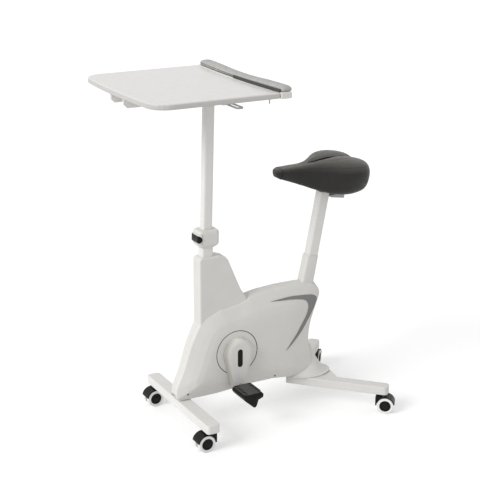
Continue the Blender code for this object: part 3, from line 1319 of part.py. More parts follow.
def lift_lever(slide):
    """The wire lever under the desk's near side, hinged on the bracket's ear."""
    z = desk_levels()[0] - LIFT_LEVER_DROP
    start = LIFT_EAR_Y - LIFT_EAR_WIDTH / 2 - GAP
    hinge = pivot("lift_lever_hinge", (lift_lever_x(), start, z), slide)
    outer_half = LIFT_LEVER_SPREAD / 2 + LIFT_LEVER_WIRE / 2
    inner_half = outer_half - LIFT_LEVER_WIRE
    straight = LIFT_LEVER_LENGTH - outer_half
    outline = [(-outer_half, 0), (-outer_half, -straight)]
    outline += arc((0, -straight), outer_half, 180, 360, 10)[1:-1]
    outline += [(outer_half, -straight), (outer_half, 0)]
    hole = [(-inner_half, -0.008), (inner_half, -0.008), (inner_half, -straight)]
    hole += arc((0, -straight), inner_half, 360, 180, 10)[1:-1] + [(-inner_half, -straight)]
    lever = extruded("desk_lift_lever", [outline, hole], LIFT_LEVER_WIRE, "light_plastic")
    attach(lever, (lift_lever_x(), start, z), hinge)


def desk_arm(side, slide):
    """A flat bar along the desk's underside, its front end cut to a slope."""
    arms_low = desk_levels()[1]
    x = mast_x(post_head())
    low, high = arms_low, arms_low + ARM_HEIGHT
    outline = [(x - ARM_REACH + 0.010, low), (x + ARM_BACK, low), (x + ARM_BACK, high),
               (x - ARM_REACH, high), (x - ARM_REACH, low + 0.010)]
    arm = extruded("desk_arm_" + side_name(side), [outline], ARM_WIDTH, "white_paint")
    attach(arm, (0, side * ARM_Y, 0), slide, UPRIGHT)


def back_edge(y, sweep):
    """How far a rider's edge of the desk sweeps back at this distance from the middle."""
    return sweep * (abs(y) / DESK_HALF_WIDTH) ** 2


def across_desk(half_width, count):
    return [half_width * (2 * i / count - 1) for i in range(count + 1)]


def desktop(slide):
    x = mast_x(post_head())
    low = desk_levels()[2]
    front, back = x - DESK_REACH, x + DESK_BACK
    corner = DESK_CORNER
    outline = [(back + back_edge(y, DESK_BACK_SWEEP), y) for y in across_desk(DESK_HALF_WIDTH, 14)]
    shoulder = DESK_HALF_WIDTH - corner
    front_corner = front + DESK_BOW + corner
    outline += arc((front_corner, shoulder), corner, 90, 176, 6)
    outline += [(front + DESK_BOW * (y / shoulder) ** 2, y) for y in across_desk(-shoulder, 8)[1:-1]]
    outline += arc((front_corner, -shoulder), corner, 184, 270, 6)
    top = extruded("desktop", [outline], DESK_THICKNESS, "desk_laminate")
    soften(top, DESK_EDGE_RADIUS, 3, 50)
    attach(top, (0, 0, low + DESK_THICKNESS / 2), slide)


def band_outline(half_width, near_offset, far_offset, count=14):
    """A strip across the desk, its offsets measured from the slab's rider edge."""
    x = mast_x(post_head()) + DESK_BACK
    ys = across_desk(half_width, count)
    far = [(x + far_offset + back_edge(y, RAIL_SWEEP), y) for y in ys]
    near = [(x + near_offset + back_edge(y, DESK_BACK_SWEEP), y) for y in ys]
    return far + near[::-1]


def armrest_rail(slide):
    low = desk_levels()[2] - RAIL_DROP
    outline = band_outline(DESK_HALF_WIDTH + 0.002, GAP, RAIL_WIDTH)
    rail = extruded("armrest_rail", [outline], RAIL_HEIGHT, "white_plastic")
    soften(rail, 0.003, 2, 50)
    attach(rail, (0, 0, low + RAIL_HEIGHT / 2), slide)


def armrest_pad(slide):
    """The padded rest: flat under, crowned on top, a little fuller towards its ends."""
    low = desk_levels()[2] - RAIL_DROP + RAIL_HEIGHT + GAP
    x = mast_x(post_head()) + DESK_BACK
    rings = []
    half = DESK_HALF_WIDTH - 0.001
    for y in across_desk(half, 34):
        end = math.sqrt(max(1 - (abs(y) / (half + 0.0008)) ** 24, 0.0))
        middle = x + RAIL_WIDTH - PAD_SETBACK - PAD_WIDTH / 2 + back_edge(y, PAD_SWEEP)
        half_width = PAD_WIDTH / 2 * (0.65 + 0.35 * end)
        height = (PAD_HEIGHT + PAD_CROWN * min(abs(y) / 0.13, 1.0) ** 2) * (0.55 + 0.45 * end)
        section = [(-0.93, 0.0), (0.93, 0.0), (1.0, 0.22), (0.985, 0.50), (0.90, 0.78), (0.70, 0.93),
                   (0.35, 1.0), (-0.35, 1.0), (-0.70, 0.93), (-0.90, 0.78), (-0.985, 0.50), (-1.0, 0.22)]
        rings.append([Vector((middle + across * half_width, y, low + up * height)) for across, up in section])
    pad = loft("armrest_pad", rings, "pad_leather")
    attach(pad, (0, 0, 0), slide)


def slot_liner(slide):
    """The dark strip on the rail in front of the pad, on the rider's left."""
    low = desk_levels()[2] - RAIL_DROP + RAIL_HEIGHT + GAP
    x = mast_x(post_head()) + DESK_BACK
    start = LINER_FROM_END - DESK_HALF_WIDTH
    ys = [start + (LINER_PAST_MIDDLE - start) * i / 8 for i in range(9)]
    offset = RAIL_WIDTH - PAD_SETBACK - PAD_WIDTH - GAP
    far = [(x + offset + back_edge(y, PAD_SWEEP), y) for y in ys]
    near = [(u - LINER_WIDTH, y) for u, y in far]
    liner = extruded("slot_liner", [far + near[::-1]], LINER_HEIGHT, "dark_plastic")
    attach(liner, (0, 0, low + LINER_HEIGHT / 2), slide)


def centre_on_footprint():
    """Moves the whole bike so that the middle of its box stands over the origin."""
    bpy.context.view_layer.update()
    depsgraph = bpy.context.evaluated_depsgraph_get()
    points = []
    for obj in PARTS.objects:
        if obj.type == "MESH":
            evaluated = obj.evaluated_get(depsgraph)
            points += [evaluated.matrix_world @ vertex.co for vertex in evaluated.to_mesh().vertices]
            evaluated.to_mesh_clear()
    low = [min(point[i] for point in points) for i in range(2)]
    high = [max(point[i] for point in points) for i in range(2)]
    ROOT.location = (-(low[0] + high[0]) / 2, -(low[1] + high[1]) / 2, 0)
    bpy.context.view_layer.update()


def build():
    front_crossbar()
    base_beam()
    for side in (-1, 1):
        rear_leg(side)
        caster("front_" + side_name(side), front_stem(side), FRONT_CASTER_HEADING)
        caster("rear_" + side_name(side), rear_stem(side), REAR_CASTER_HEADINGS[side])
    floor = frame_floor_cutter()
    desk_mast(floor)
    seat_tube(floor)
    bottom_bracket()
    flywheel_fork()

    crank = pivot("crank_spin", (CRANK_X, 0, CRANK_Z), ROOT)
    wheel_spin = pivot("flywheel_spin", (FLYWHEEL_X, 0, FLYWHEEL_Z), ROOT)
    crank_axle(crank)
    drive_pulley(crank)
    flywheel(wheel_spin)
    flywheel_axle()
    drive_belt()
    brake_arm()
    for side in (-1, 1):
        crank_bearing(side)
        crank_side(side, crank)
        pedal(side, crank)
        accent_stripe(side)
    shell_halves()
    shell_screw("shell_screw_front", *SCREW_PLACES[0])
    shell_screw("shell_screw_rear", *SCREW_PLACES[1])

    seat_slide = pivot("seat_slide", seat_point(SEAT_TUBE_TOP), ROOT)
    seat_post(seat_slide)
    gas_spring(seat_slide)
    seat_head(seat_slide)
    seat_lever(seat_slide)
    saddle_base(seat_slide)
    saddle_cushion(seat_slide)

    post_collar()
    collar_lever()
    desk_slide = pivot("desk_slide", (mast_x(COLLAR_TOP), 0, COLLAR_TOP), ROOT)
    desk_post(desk_slide)
    desk_bracket(desk_slide)
    lift_lever(desk_slide)
    for side in (-1, 1):
        desk_arm(side, desk_slide)
    desktop(desk_slide)
    armrest_rail(desk_slide)
    armrest_pad(desk_slide)
    slot_liner(desk_slide)
    centre_on_footprint()


build()
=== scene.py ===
"""Looks for the desk exercise bike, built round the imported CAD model.

Everything is in metres in the CAD's own frame: X runs from the desk back to the saddle, Y to the
rider's right and Z up from the floor. CAD nodes keep their shapes and get materials here. The
saddle, the armrest pad and the collar lever are replaced by fuller pieces, and small parts that
the solids leave out are added.
"""
import json
import math

import bmesh
import bpy
from mathutils import Matrix, Vector
from mathutils.bvhtree import BVHTree


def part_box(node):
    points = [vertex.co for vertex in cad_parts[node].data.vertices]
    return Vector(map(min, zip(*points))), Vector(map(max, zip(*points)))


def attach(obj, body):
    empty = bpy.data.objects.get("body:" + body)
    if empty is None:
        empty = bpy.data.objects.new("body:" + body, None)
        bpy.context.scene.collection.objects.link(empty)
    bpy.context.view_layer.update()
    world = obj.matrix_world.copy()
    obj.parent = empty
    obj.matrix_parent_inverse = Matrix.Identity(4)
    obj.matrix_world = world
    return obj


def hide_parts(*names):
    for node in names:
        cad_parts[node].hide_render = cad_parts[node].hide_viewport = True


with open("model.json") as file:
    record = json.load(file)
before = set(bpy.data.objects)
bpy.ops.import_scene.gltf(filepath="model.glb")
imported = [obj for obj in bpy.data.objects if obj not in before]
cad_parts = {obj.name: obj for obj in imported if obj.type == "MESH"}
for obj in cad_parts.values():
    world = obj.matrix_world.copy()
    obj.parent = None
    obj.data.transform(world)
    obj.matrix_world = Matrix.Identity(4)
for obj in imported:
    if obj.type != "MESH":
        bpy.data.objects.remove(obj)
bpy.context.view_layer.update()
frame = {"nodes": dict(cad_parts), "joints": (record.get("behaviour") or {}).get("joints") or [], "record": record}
NODES = frame["nodes"]
JOINTS = {joint["name"]: joint for joint in frame["joints"]}
SIDES = ((-1, "left"), (1, "right"))
UP = Vector((0, 0, 1))

# The camera that the photograph was taken with, fitted to the object
CAMERA_PLACE = (-1.664647, -3.0640, 1.6487)
CAMERA_PITCH = 17.6825
CAMERA_HEADING = 28.2167
FOCAL_PIXELS = 1272.26
PICTURE_SIZE = 480
SENSOR = 36.0

WORLD_LIGHT = 0.66
KEY_LIGHT = 1.75
KEY_SPREAD = 30
KEY_DIRECTION = (0.84, 0.15, -0.52)
FLOOR_COLOUR = (0.80, 0.80, 0.80)
FLOOR_GLOW = 0.32
FLOOR_SIZE = 12
FLOOR_DROP = 0.0005


# Materials

# The part of a noise texture's range where most of its values lie
NOISE_RANGE = (0.3, 0.7)


class Surface:
    """One Principled material with colour, roughness and bump from procedural textures."""

    def __init__(self, name, roughness, metallic=0.0, specular=0.5, coat=0.0):
        self.material = bpy.data.materials.new(name)
        self.material.use_nodes = True
        self.tree = self.material.node_tree
        self.shader = self.tree.nodes["Principled BSDF"]
        self.shader.inputs["Metallic"].default_value = metallic
        self.shader.inputs["Specular IOR Level"].default_value = specular
        self.shader.inputs["Coat Weight"].default_value = coat
        self.roughness = roughness
        self.place = self.node("ShaderNodeTexCoord").outputs["Object"]
        self.normal = None

    def node(self, kind, **settings):
        made = self.tree.nodes.new(kind)
        for key, value in settings.items():
            setattr(made, key, value)
        return made

    def link(self, output, target):
        self.tree.links.new(output, target)

    def stretched(self, stretch):
        mapping = self.node("ShaderNodeMapping")
        mapping.inputs["Scale"].default_value = stretch
        self.link(self.place, mapping.inputs["Vector"])
        return mapping.outputs["Vector"]

    def noise(self, scale, detail=2.0, stretch=None):
        texture = self.node("ShaderNodeTexNoise")
        texture.inputs["Scale"].default_value = scale
        texture.inputs["Detail"].default_value = detail
        place = self.stretched(stretch) if stretch else self.place
        self.link(place, texture.inputs["Vector"])
        return texture.outputs["Fac"]

    def cells(self, scale, crease):
        """Pebbles with creases between them, as leather has."""
        texture = self.node("ShaderNodeTexVoronoi", feature="DISTANCE_TO_EDGE")
        texture.inputs["Scale"].default_value = scale
        wobble = self.node("ShaderNodeVectorMath", operation="ADD")
        warp = self.node("ShaderNodeTexNoise")
        warp.inputs["Scale"].default_value = scale * 0.5
        self.link(self.place, warp.inputs["Vector"])
        shift = self.node("ShaderNodeVectorMath", operation="SCALE")
        shift.inputs["Scale"].default_value = 0.6 / scale
        self.link(warp.outputs["Color"], shift.inputs[0])
        self.link(self.place, wobble.inputs[0])
        self.link(shift.outputs["Vector"], wobble.inputs[1])
        self.link(wobble.outputs["Vector"], texture.inputs["Vector"])
        return self.ranged(texture.outputs["Distance"], 0.0, crease, 0.0, 1.0)

    def ranged(self, value, low, high, to_low, to_high):
        made = self.node("ShaderNodeMapRange")
        for key, number in (("From Min", low), ("From Max", high),
                            ("To Min", to_low), ("To Max", to_high)):
            made.inputs[key].default_value = number
        self.link(value, made.inputs["Value"])
        return made.outputs["Result"]

    def blend(self, factor, first, second):
        """Mixes two colours, each a tuple or an output."""
        mix = self.node("ShaderNodeMix", data_type="RGBA")
        colours = [socket for socket in mix.inputs if socket.type == "RGBA"]
        self.link(factor, mix.inputs["Factor"])
        for socket, colour in zip(colours, (first, second)):
            if isinstance(colour, tuple):
                socket.default_value = (*colour, 1.0)
            else:
                self.link(colour, socket)
        return [socket for socket in mix.outputs if socket.type == "RGBA"][0]

    def mottled(self, colour, amount, scale, detail=3.0, stretch=None):
        """A colour that drifts a little darker and lighter over the surface."""
        darker = tuple(c * (1 - amount) for c in colour)
        lighter = tuple(min(c * (1 + amount), 1.0) for c in colour)
        factor = self.ranged(self.noise(scale, detail, stretch), *NOISE_RANGE, 0.0, 1.0)
        return self.blend(factor, darker, lighter)

    def paint_facing_light(self, colour, painted_light):
        """Painted light and shade: another colour where the surface faces along an axis, as (axis, low, high,
        shade).
        """
        if not painted_light:
            return colour
        axis, low, high, shade = painted_light
        split = self.node("ShaderNodeSeparateXYZ")
        self.link(self.node("ShaderNodeTexCoord").outputs["Normal"], split.inputs[0])
        return self.blend(self.ranged(split.outputs[axis], low, high, 0.0, 1.0), colour, shade)

    def bump(self, height, distance, strength):
        """Adds a layer of relief to those already there."""
        made = self.node("ShaderNodeBump")
        made.inputs["Strength"].default_value = strength
        made.inputs["Distance"].default_value = distance
        self.link(height, made.inputs["Height"])
        if self.normal:
            self.link(self.normal, made.inputs["Normal"])
        self.normal = made.outputs["Normal"]

    def finished(self, colour, roughness_spread=0.06, roughness_scale=60):
        """Joins colour, a slightly uneven roughness and the relief to the shader."""
        self.link(colour, self.shader.inputs["Base Color"])
        low, high = self.roughness - roughness_spread, self.roughness + roughness_spread
        self.link(self.ranged(self.noise(roughness_scale), *NOISE_RANGE, low, high),
                  self.shader.inputs["Roughness"])
        if self.normal:
            self.link(self.normal, self.shader.inputs["Normal"])
        return self.material


def powder_coat(name, colour):
    """Painted steel with a faint orange peel."""
    surface = Surface(name, roughness=0.42)
    surface.bump(surface.noise(scale=420, detail=2), distance=0.00012, strength=0.5)
    surface.bump(surface.noise(scale=1600, detail=1), distance=0.00005, strength=0.4)
    return surface.finished(surface.mottled(colour, amount=0.018, scale=24))


def moulded(name, colour, roughness=0.48, grain=2200, depth=0.00005, tint=0.02, specular=0.45,
            painted_light=None):
    """Moulded plastic with the fine spark-eroded grain of its tool."""
    surface = Surface(name, roughness, specular=specular)
    surface.bump(surface.noise(grain, detail=3), depth, strength=0.6)
    surface.bump(surface.noise(scale=18, detail=1), distance=0.0006, strength=0.08)
    return surface.finished(surface.paint_facing_light(surface.mottled(colour, tint, scale=16), painted_light))


def leather(name, colour, cell, depth, roughness, specular=0.4, painted_light=None):
    """Grained leather with painted shade darkening the creases between its pebbles."""
    surface = Surface(name, roughness, specular=specular)
    pebbles = surface.cells(cell, crease=0.16)
    surface.bump(pebbles, depth, strength=0.7)
    surface.bump(surface.noise(cell * 2.5, detail=3), depth * 0.5, strength=0.35)
    surface.bump(surface.noise(scale=38, detail=2), distance=0.0009, strength=0.25)
    body = surface.paint_facing_light(surface.mottled(colour, amount=0.09, scale=55), painted_light)
    # Painted shade: towards the creases the colour darkens to half
    creases = surface.ranged(pebbles, 0.0, 1.0, 0.35, 0.0)
    shade = surface.blend(creases, body, tuple(c * 0.5 for c in colour))
    return surface.finished(shade, roughness_spread=0.08, roughness_scale=90)


def brushed(name, colour, roughness, streak=(900, 30, 900)):
    """Bare metal with fine streaks along Y."""
    surface = Surface(name, roughness, metallic=1.0)
    surface.bump(surface.noise(1.0, 2, streak), distance=0.00004, strength=0.5)
    shade = surface.mottled(colour, 0.08, 1.0, 3, streak)
    return surface.finished(shade, roughness_spread=0.08, roughness_scale=200)


def laminate(name, colour, edge):
    """White board with a faint long grain pressed into it, and painted shade: a duller colour on its sides and
    underside.
    """
    surface = Surface(name, roughness=0.36, coat=0.08)
    surface.bump(surface.noise(1.0, 3, (340, 22, 340)), distance=0.00006, strength=0.35)
    surface.bump(surface.noise(scale=900, detail=2), distance=0.00003, strength=0.3)
    body = surface.mottled(edge, 0.02, 1.0, 4, (120, 9, 120))
    # Painted shade: only faces turned up keep the top colour, the others take the darker edge colour
    return surface.finished(surface.paint_facing_light(body, ("Z", 0.55, 0.80, colour)))


def rubber(name, colour):
    surface = Surface(name, roughness=0.72, specular=0.15)
    surface.bump(surface.noise(scale=1500, detail=3), distance=0.00008, strength=0.6)
    return surface.finished(surface.mottled(colour, amount=0.12, scale=70))


SHELL_COLOUR = (0.69, 0.675, 0.645)
FINISHES = {
    "white_paint": powder_coat("white_powder_coat", (0.74, 0.73, 0.705)),
    # A darker copy of the white coat for the rear legs, painted shade for the shade under the shell
    "leg_painted_shade": powder_coat("white_coat_painted_shade", (0.64, 0.63, 0.605)),
    "white_plastic": moulded("white_moulded_plastic", SHELL_COLOUR),
    # The crank arms' white plastic with painted shade on the walls that face -X
    "crank_plastic_painted_shade": moulded("white_plastic_painted_front_shade", SHELL_COLOUR,
                             painted_light=("X", -0.15, -0.75, (0.36, 0.34, 0.31))),
    "grey_accent": moulded("grey_accent_plastic", (0.20, 0.20, 0.195), roughness=0.42),
    "black_plastic": moulded("black_grained_plastic", (0.006, 0.006, 0.0055), roughness=0.34,
                             grain=1500, depth=0.00008, tint=0.15, specular=0.14),
    "dark_plastic": moulded("dark_grained_plastic", (0.066, 0.066, 0.062), roughness=0.56,
                            grain=1100, depth=0.00018, tint=0.12, specular=0.25),
    "light_plastic": moulded("light_grey_plastic", (0.46, 0.46, 0.45), roughness=0.45),
    "tread": moulded("pale_tread", (0.80, 0.80, 0.78), roughness=0.5, grain=900, depth=0.00008),
    # The edge colour is painted shade for the desk board's sides and underside
    "desk_laminate": laminate("white_laminate_painted_edge_shade", (0.72, 0.71, 0.69), edge=(0.52, 0.51, 0.49)),
    "pad_leather": leather("grey_grained_cover", (0.45, 0.45, 0.43),
                           cell=900, depth=0.00016, roughness=0.55),
    "pad_band": leather("grey_grained_band", (0.46, 0.455, 0.43),
                        cell=900, depth=0.00016, roughness=0.55, specular=0.2),
    # Dark grained leather with painted light: faces turned up take a lighter colour
    "saddle_leather": leather("dark_leather_painted_top_light", (0.016, 0.0155, 0.014),
                              cell=640, depth=0.00024, roughness=0.42, specular=0.30,
                              painted_light=("Z", 0.10, 0.95, (0.135, 0.128, 0.113))),
    "steel": brushed("brushed_steel", (0.50, 0.50, 0.49), roughness=0.34),
    "cast_iron": brushed("cast_iron", (0.13, 0.13, 0.13), roughness=0.55,
                         streak=(300, 300, 300)),
    "belt_rubber": rubber("black_rubber", (0.006, 0.006, 0.006)),
}

# Nodes whose finish here is another than that of their slot
NODE_FINISHES = {
    # The rear legs take the white coat with painted shade
    "rear_leg_left": "leg_painted_shade", "rear_leg_right": "leg_painted_shade",
    "crank_arm_left": "crank_plastic_painted_shade", "crank_arm_right": "crank_plastic_painted_shade",
    "pedal_left": "black_plastic", "pedal_right": "black_plastic",
    "shell_screw_front": "cast_iron", "shell_screw_rear": "cast_iron",
}


def dress_nodes():
    """Gives each CAD node the finish of its slot in the record, or its own."""
    for row in frame["record"]["subparts"]:
        node = NODES[row["node"]]
        node.data.materials.clear()
        finish = NODE_FINISHES.get(row["node"], row["material_slot"])
        node.data.materials.append(FINISHES[finish])


# Mesh helpers

# Radius at the axis of a turned profile, where 0 would make faces without area
AXIS_RADIUS = 0.0001


def object_of(name, bm, material):
    """Turns a bmesh into an object of the scene with one material."""
    mesh = bpy.data.meshes.new(name)
    bm.to_mesh(mesh)
    bm.free()
    mesh.materials.append(material)
    made = bpy.data.objects.new(name, mesh)
    bpy.context.scene.collection.objects.link(made)
    return made


def mesh_piece(name, bm, finish, body, smooth_angle=40):
    """Makes a piece of a bmesh, which rides on a body if one is named."""
    bmesh.ops.recalc_face_normals(bm, faces=bm.faces)
    piece = object_of(name, bm, FINISHES[finish])
    piece.data.shade_smooth()
    piece.data.set_sharp_from_angle(angle=math.radians(smooth_angle))
    if body:
        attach(piece, body)
    return piece


def round_angles(count):
    """Equal steps of angle round a full turn."""
    return [2 * math.pi * i / count for i in range(count)]


def corner_arc(centre, radius, number, steps):
    """Points round one corner of an outline, the corners numbered from +x, +y on."""
    angles = [math.radians(90 * number + 90 * step / steps) for step in range(steps + 1)]
    return [(centre[0] + radius * math.cos(a), centre[1] + radius * math.sin(a)) for a in angles]


def add_loft(bm, rings, looped=False):
    """Adds a skin through rings of equally many points, capped at both ends or else looped."""
    rows = [[bm.verts.new(point) for point in ring] for ring in rings]
    count = len(rows[0])
    for low, high in zip(rows, rows[1:] + rows[:1] if looped else rows[1:]):
        for i in range(count):
            j = (i + 1) % count
            bm.faces.new((low[i], low[j], high[j], high[i]))
    if not looped:
        bm.faces.new(rows[0][::-1])
        bm.faces.new(rows[-1])


def add_turned(bm, profile, place, axis, steps=32):
    """Adds a solid turned from (radius, height) points round an axis through a place."""
    matrix = Matrix.Translation(place) @ UP.rotation_difference(axis).to_matrix().to_4x4()
    add_loft(bm, [[matrix @ Vector((radius * math.cos(angle), radius * math.sin(angle), height))
                   for angle in round_angles(steps)] for radius, height in profile])


def spline(points, per_span):
    """A smooth curve through open control points, as a Catmull-Rom spline."""
    path = []
    for i in range(len(points) - 1):
        before = points[max(i - 1, 0)]
        start, end = points[i], points[i + 1]
        after = points[min(i + 2, len(points) - 1)]
        for step in range(per_span):
            t = step / per_span
            path.append(tuple(
                0.5 * (2 * b + (c - a) * t + (2 * a - 5 * b + 4 * c - d) * t * t
                       + (3 * b - a - 3 * c + d) * t ** 3)
                for a, b, c, d in zip(before, start, end, after)))
    path.append(tuple(points[-1]))
    return path


def share_between(value, start, run):
    """How far a value has come along a run, from 0 to 1."""
    return min(max((value - start) / run, 0.0), 1.0)


def apply_modifiers(piece):
    depsgraph = bpy.context.evaluated_depsgraph_get()
    mesh = bpy.data.meshes.new_from_object(piece.evaluated_get(depsgraph))
    piece.modifiers.clear()
    old = piece.data
    piece.data = mesh
    bpy.data.meshes.remove(old)


def bm_tree(bm):
    bmesh.ops.recalc_face_normals(bm, faces=bm.faces)
    tree = BVHTree.FromBMesh(bm)
    bm.free()
    return tree


def surface_tree(piece):
    bm = bmesh.new()
    bm.from_mesh(piece.data)
    tree = BVHTree.FromBMesh(bm)
    bm.free()
    return tree


def prism(outline, low, high):
    """A temporary solid between two heights, for a cut."""
    bm = bmesh.new()
    add_loft(bm, [[Vector((x, y, z)) for x, y in outline] for z in (low, high)])
    bmesh.ops.recalc_face_normals(bm, faces=bm.faces)
    # The cutter's black is left on the faces it cuts, as painted shade
    return object_of("cutter", bm, FINISHES["belt_rubber"])


def carve(piece, tool):
    """Cuts a tool out of a piece. The cut's faces take the tool's black, which is painted shade down the saddle's
    slit and stands for the black pedal under the tread's slots.
    """
    cut = piece.modifiers.new("cut", "BOOLEAN")
    cut.object = tool
    cut.operation = "DIFFERENCE"
    cut.solver = "EXACT"
    cut.material_mode = "TRANSFER"
    bpy.context.view_layer.update()
    apply_modifiers(piece)
    bpy.data.objects.remove(tool)


# Covers, seams and stitches

SIM_FRAMES = 20
FABRIC_PRESSURE = 4.0
FABRIC_QUALITY = 5
FABRIC_MASS = 0.3
FABRIC_STIFFNESS = 20
FABRIC_BENDING = 0.8

# A cover is drawn this far back out where it shrank, and may stand this far outside its form
SKIN_PULL = 0.9
SKIN_SLACK = 0.0012

# Along a stitch: share of its length from the middle, and share of its radius
STITCH_PROFILE = ((-0.5, 0.35), (-0.38, 0.9), (0.0, 1.0), (0.38, 0.9), (0.5, 0.35))
STITCH_SIDES = 6
STITCH_LIFT = 0.15
BEAD_ANGLE = 60


def add_smoothing(piece, factor, iterations):
    smooth = piece.modifiers.new("smooth", "SMOOTH")
    smooth.factor = factor
    smooth.iterations = iterations


def swollen_points(piece):
    """Where cloth under pressure takes each point of a piece."""
    cloth = piece.modifiers.new("cloth", "CLOTH")
    settings = cloth.settings
    settings.quality = FABRIC_QUALITY
    settings.mass = FABRIC_MASS
    settings.tension_stiffness = settings.compression_stiffness = FABRIC_STIFFNESS
    settings.bending_stiffness = FABRIC_BENDING
    settings.use_pressure = True
    settings.uniform_pressure_force = FABRIC_PRESSURE
    settings.effector_weights.gravity = 0.0
    cloth.point_cache.frame_start, cloth.point_cache.frame_end = 1, SIM_FRAMES
    for number in range(1, SIM_FRAMES + 1):
        bpy.context.scene.frame_set(number)
    depsgraph = bpy.context.evaluated_depsgraph_get()
    points = [vertex.co.copy() for vertex in piece.evaluated_get(depsgraph).data.vertices]
    piece.modifiers.clear()
    bpy.context.scene.frame_set(1)
    return points


def puffed(piece, voxel, cap, freedom, outer):
    """Swells a closed form as stuffed fabric, each point by at most cap times its own freedom.

    The cover then stays within a loose skin round the outer form, so it neither shrinks nor
    bloats.
    """
    remesh = piece.modifiers.new("even", "REMESH")
    remesh.mode = "VOXEL"
    remesh.voxel_size = voxel
    remesh.use_smooth_shade = True
    apply_modifiers(piece)
    rest = [vertex.co.copy() for vertex in piece.data.vertices]
    swollen = swollen_points(piece)
    for vertex, start, end in zip(piece.data.vertices, rest, swollen):
        move = end - start
        if move.length > cap:
            move = move.normalized() * cap
        vertex.co = start + move * freedom(start)
    add_smoothing(piece, 0.5, 3)
    finer = piece.modifiers.new("finer", "SUBSURF")
    finer.levels = finer.render_levels = 1
    apply_modifiers(piece)
    for vertex in piece.data.vertices:
        hit, normal, _, _ = outer.find_nearest(vertex.co)
        offset = (vertex.co - hit).dot(normal)
        if offset < 0:
            vertex.co -= normal * offset * SKIN_PULL
        elif offset > SKIN_SLACK:
            vertex.co -= normal * (offset - SKIN_SLACK)
    add_smoothing(piece, 0.4, 2)
    apply_modifiers(piece)
    piece.data.shade_smooth()


def stitched(name, tree, path, finish, body, length=0.0030, pitch=0.0044, radius=0.00045):
    """Small stitches along a path, each laid on the surface under it."""
    bm = bmesh.new()
    travelled, due = 0.0, 0.0
    for start, end in zip(path, path[1:]):
        start, end = Vector(start), Vector(end)
        span = (end - start).length
        while span > 0 and due <= travelled + span:
            along = (end - start).normalized()
            centre = start + along * (due - travelled)
            hit, normal, _, _ = tree.find_nearest(centre)
            along = (along - normal * along.dot(normal)).normalized()
            side = normal.cross(along)
            rings = []
            for share, fat in STITCH_PROFILE:
                middle = hit + along * share * length + normal * radius * STITCH_LIFT
                rings.append([middle + (normal * math.sin(a) + side * math.cos(a)) * radius * fat
                              for a in round_angles(STITCH_SIDES)])
            add_loft(bm, rings)
            due += pitch
        travelled += span
    mesh_piece(name, bm, finish, body, BEAD_ANGLE)


def tube(name, path, radius, finish, body, sides=8, closed=False):
    """A thin bead along a path."""
    points = [Vector(p) for p in path]
    count = len(points)
    rings = []
    for i, point in enumerate(points):
        before = points[i - 1] if (i or closed) else point
        after = points[(i + 1) % count] if (i < count - 1 or closed) else point
        along = (after - before).normalized()
        side = along.cross(UP)
        if side.length < 0.1:
            side = along.cross(Vector((1, 0, 0)))
        side.normalize()
        up = side.cross(along)
        rings.append([point + (side * math.cos(a) + up * math.sin(a)) * radius
                      for a in round_angles(sides)])
    bm = bmesh.new()
    add_loft(bm, rings, closed)
    mesh_piece(name, bm, finish, body, BEAD_ANGLE)


# Saddle

# Where the seat post's head stands, from which the saddle is measured
HEAD_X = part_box("saddle_base")[0].x + 0.016
HEAD_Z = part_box("seat_head")[1].z - 0.012

# Along the saddle: place, half width, top and underside
SADDLE_STATIONS = [(-0.165, 0.010, 0.081, 0.067), (-0.160, 0.0185, 0.087, 0.061),
                   (-0.146, 0.0225, 0.089, 0.055), (-0.116, 0.0245, 0.090, 0.044),
                   (-0.077, 0.028, 0.091, 0.029), (-0.053, 0.037, 0.093, 0.019),
                   (-0.034, 0.052, 0.096, 0.012), (-0.017, 0.070, 0.098, 0.007),
                   (-0.002, 0.086, 0.100, 0.003), (0.014, 0.098, 0.102, 0.001),
                   (0.030, 0.105, 0.103, 0.000), (0.048, 0.108, 0.103, 0.000),
                   (0.069, 0.107, 0.101, 0.002), (0.089, 0.101, 0.097, 0.006),
                   (0.104, 0.089, 0.092, 0.013), (0.116, 0.071, 0.084, 0.023),
                   (0.1245, 0.046, 0.074, 0.034), (0.1275, 0.025, 0.066, 0.041)]

# Half a section: shares of the half width and of the height, from the middle of the top
SADDLE_SECTION = [(0.0, 0.0), (0.22, 0.0), (0.48, 0.0), (0.72, 0.02), (0.88, 0.09), (0.97, 0.21),
                  (1.0, 0.36), (0.985, 0.52), (0.94, 0.68), (0.86, 0.85), (0.70, 0.97),
                  (0.40, 1.0)]
SADDLE_SLACK = 0.0030
SADDLE_SWELL = 0.0042
SADDLE_VOXEL = 0.0040
SADDLE_STIFF_HEIGHT = 0.004
SADDLE_FREE_RUN = 0.03
TOP_SHARE = 0.2
CHANNEL_DEPTH, CHANNEL_SPREAD, CHANNEL_START, CHANNEL_RUN = 0.0075, 0.009, -0.060, 0.03
NOTCH_DEPTH, NOTCH_SPREAD, NOTCH_START, NOTCH_RUN = 0.014, 0.022, 0.050, 0.050
CHEEK_RISE, CHEEK_SHARE, CHEEK_START, CHEEK_RUN = 0.0022, 0.95, -0.080, 0.06
TAIL_START, NOSE_END = 0.05, -0.12

# The pocket for the base plate: plan of one half, and its heights
POCKET_PLAN = [(-0.016, 0.030), (0.010, 0.050), (0.040, 0.060), (0.066, 0.058), (0.084, 0.042)]
POCKET_ROOM = 0.0004
POCKET_LOW, POCKET_TOP = -0.03, 0.0236

# The slit in the top, along X
SLIT_START, SLIT_END, SLIT_HALF_WIDTH, SLIT_DEPTH = 0.200, 0.302, 0.0068, 0.015
SLIT_ROUNDNESS = 0.45
SLIT_STEPS = 24

# The stitching runs at these shares of a section, and the nose seam round this station
STITCHING_SHARES = (0.93, 0.145)
NOSE_SEAM_STATION = (-0.150, 0.0222, 0.0888, 0.0563)
NOSE_SEAM_RADIUS = 0.00075
NOSE_SEAM_GAP = 0.0006


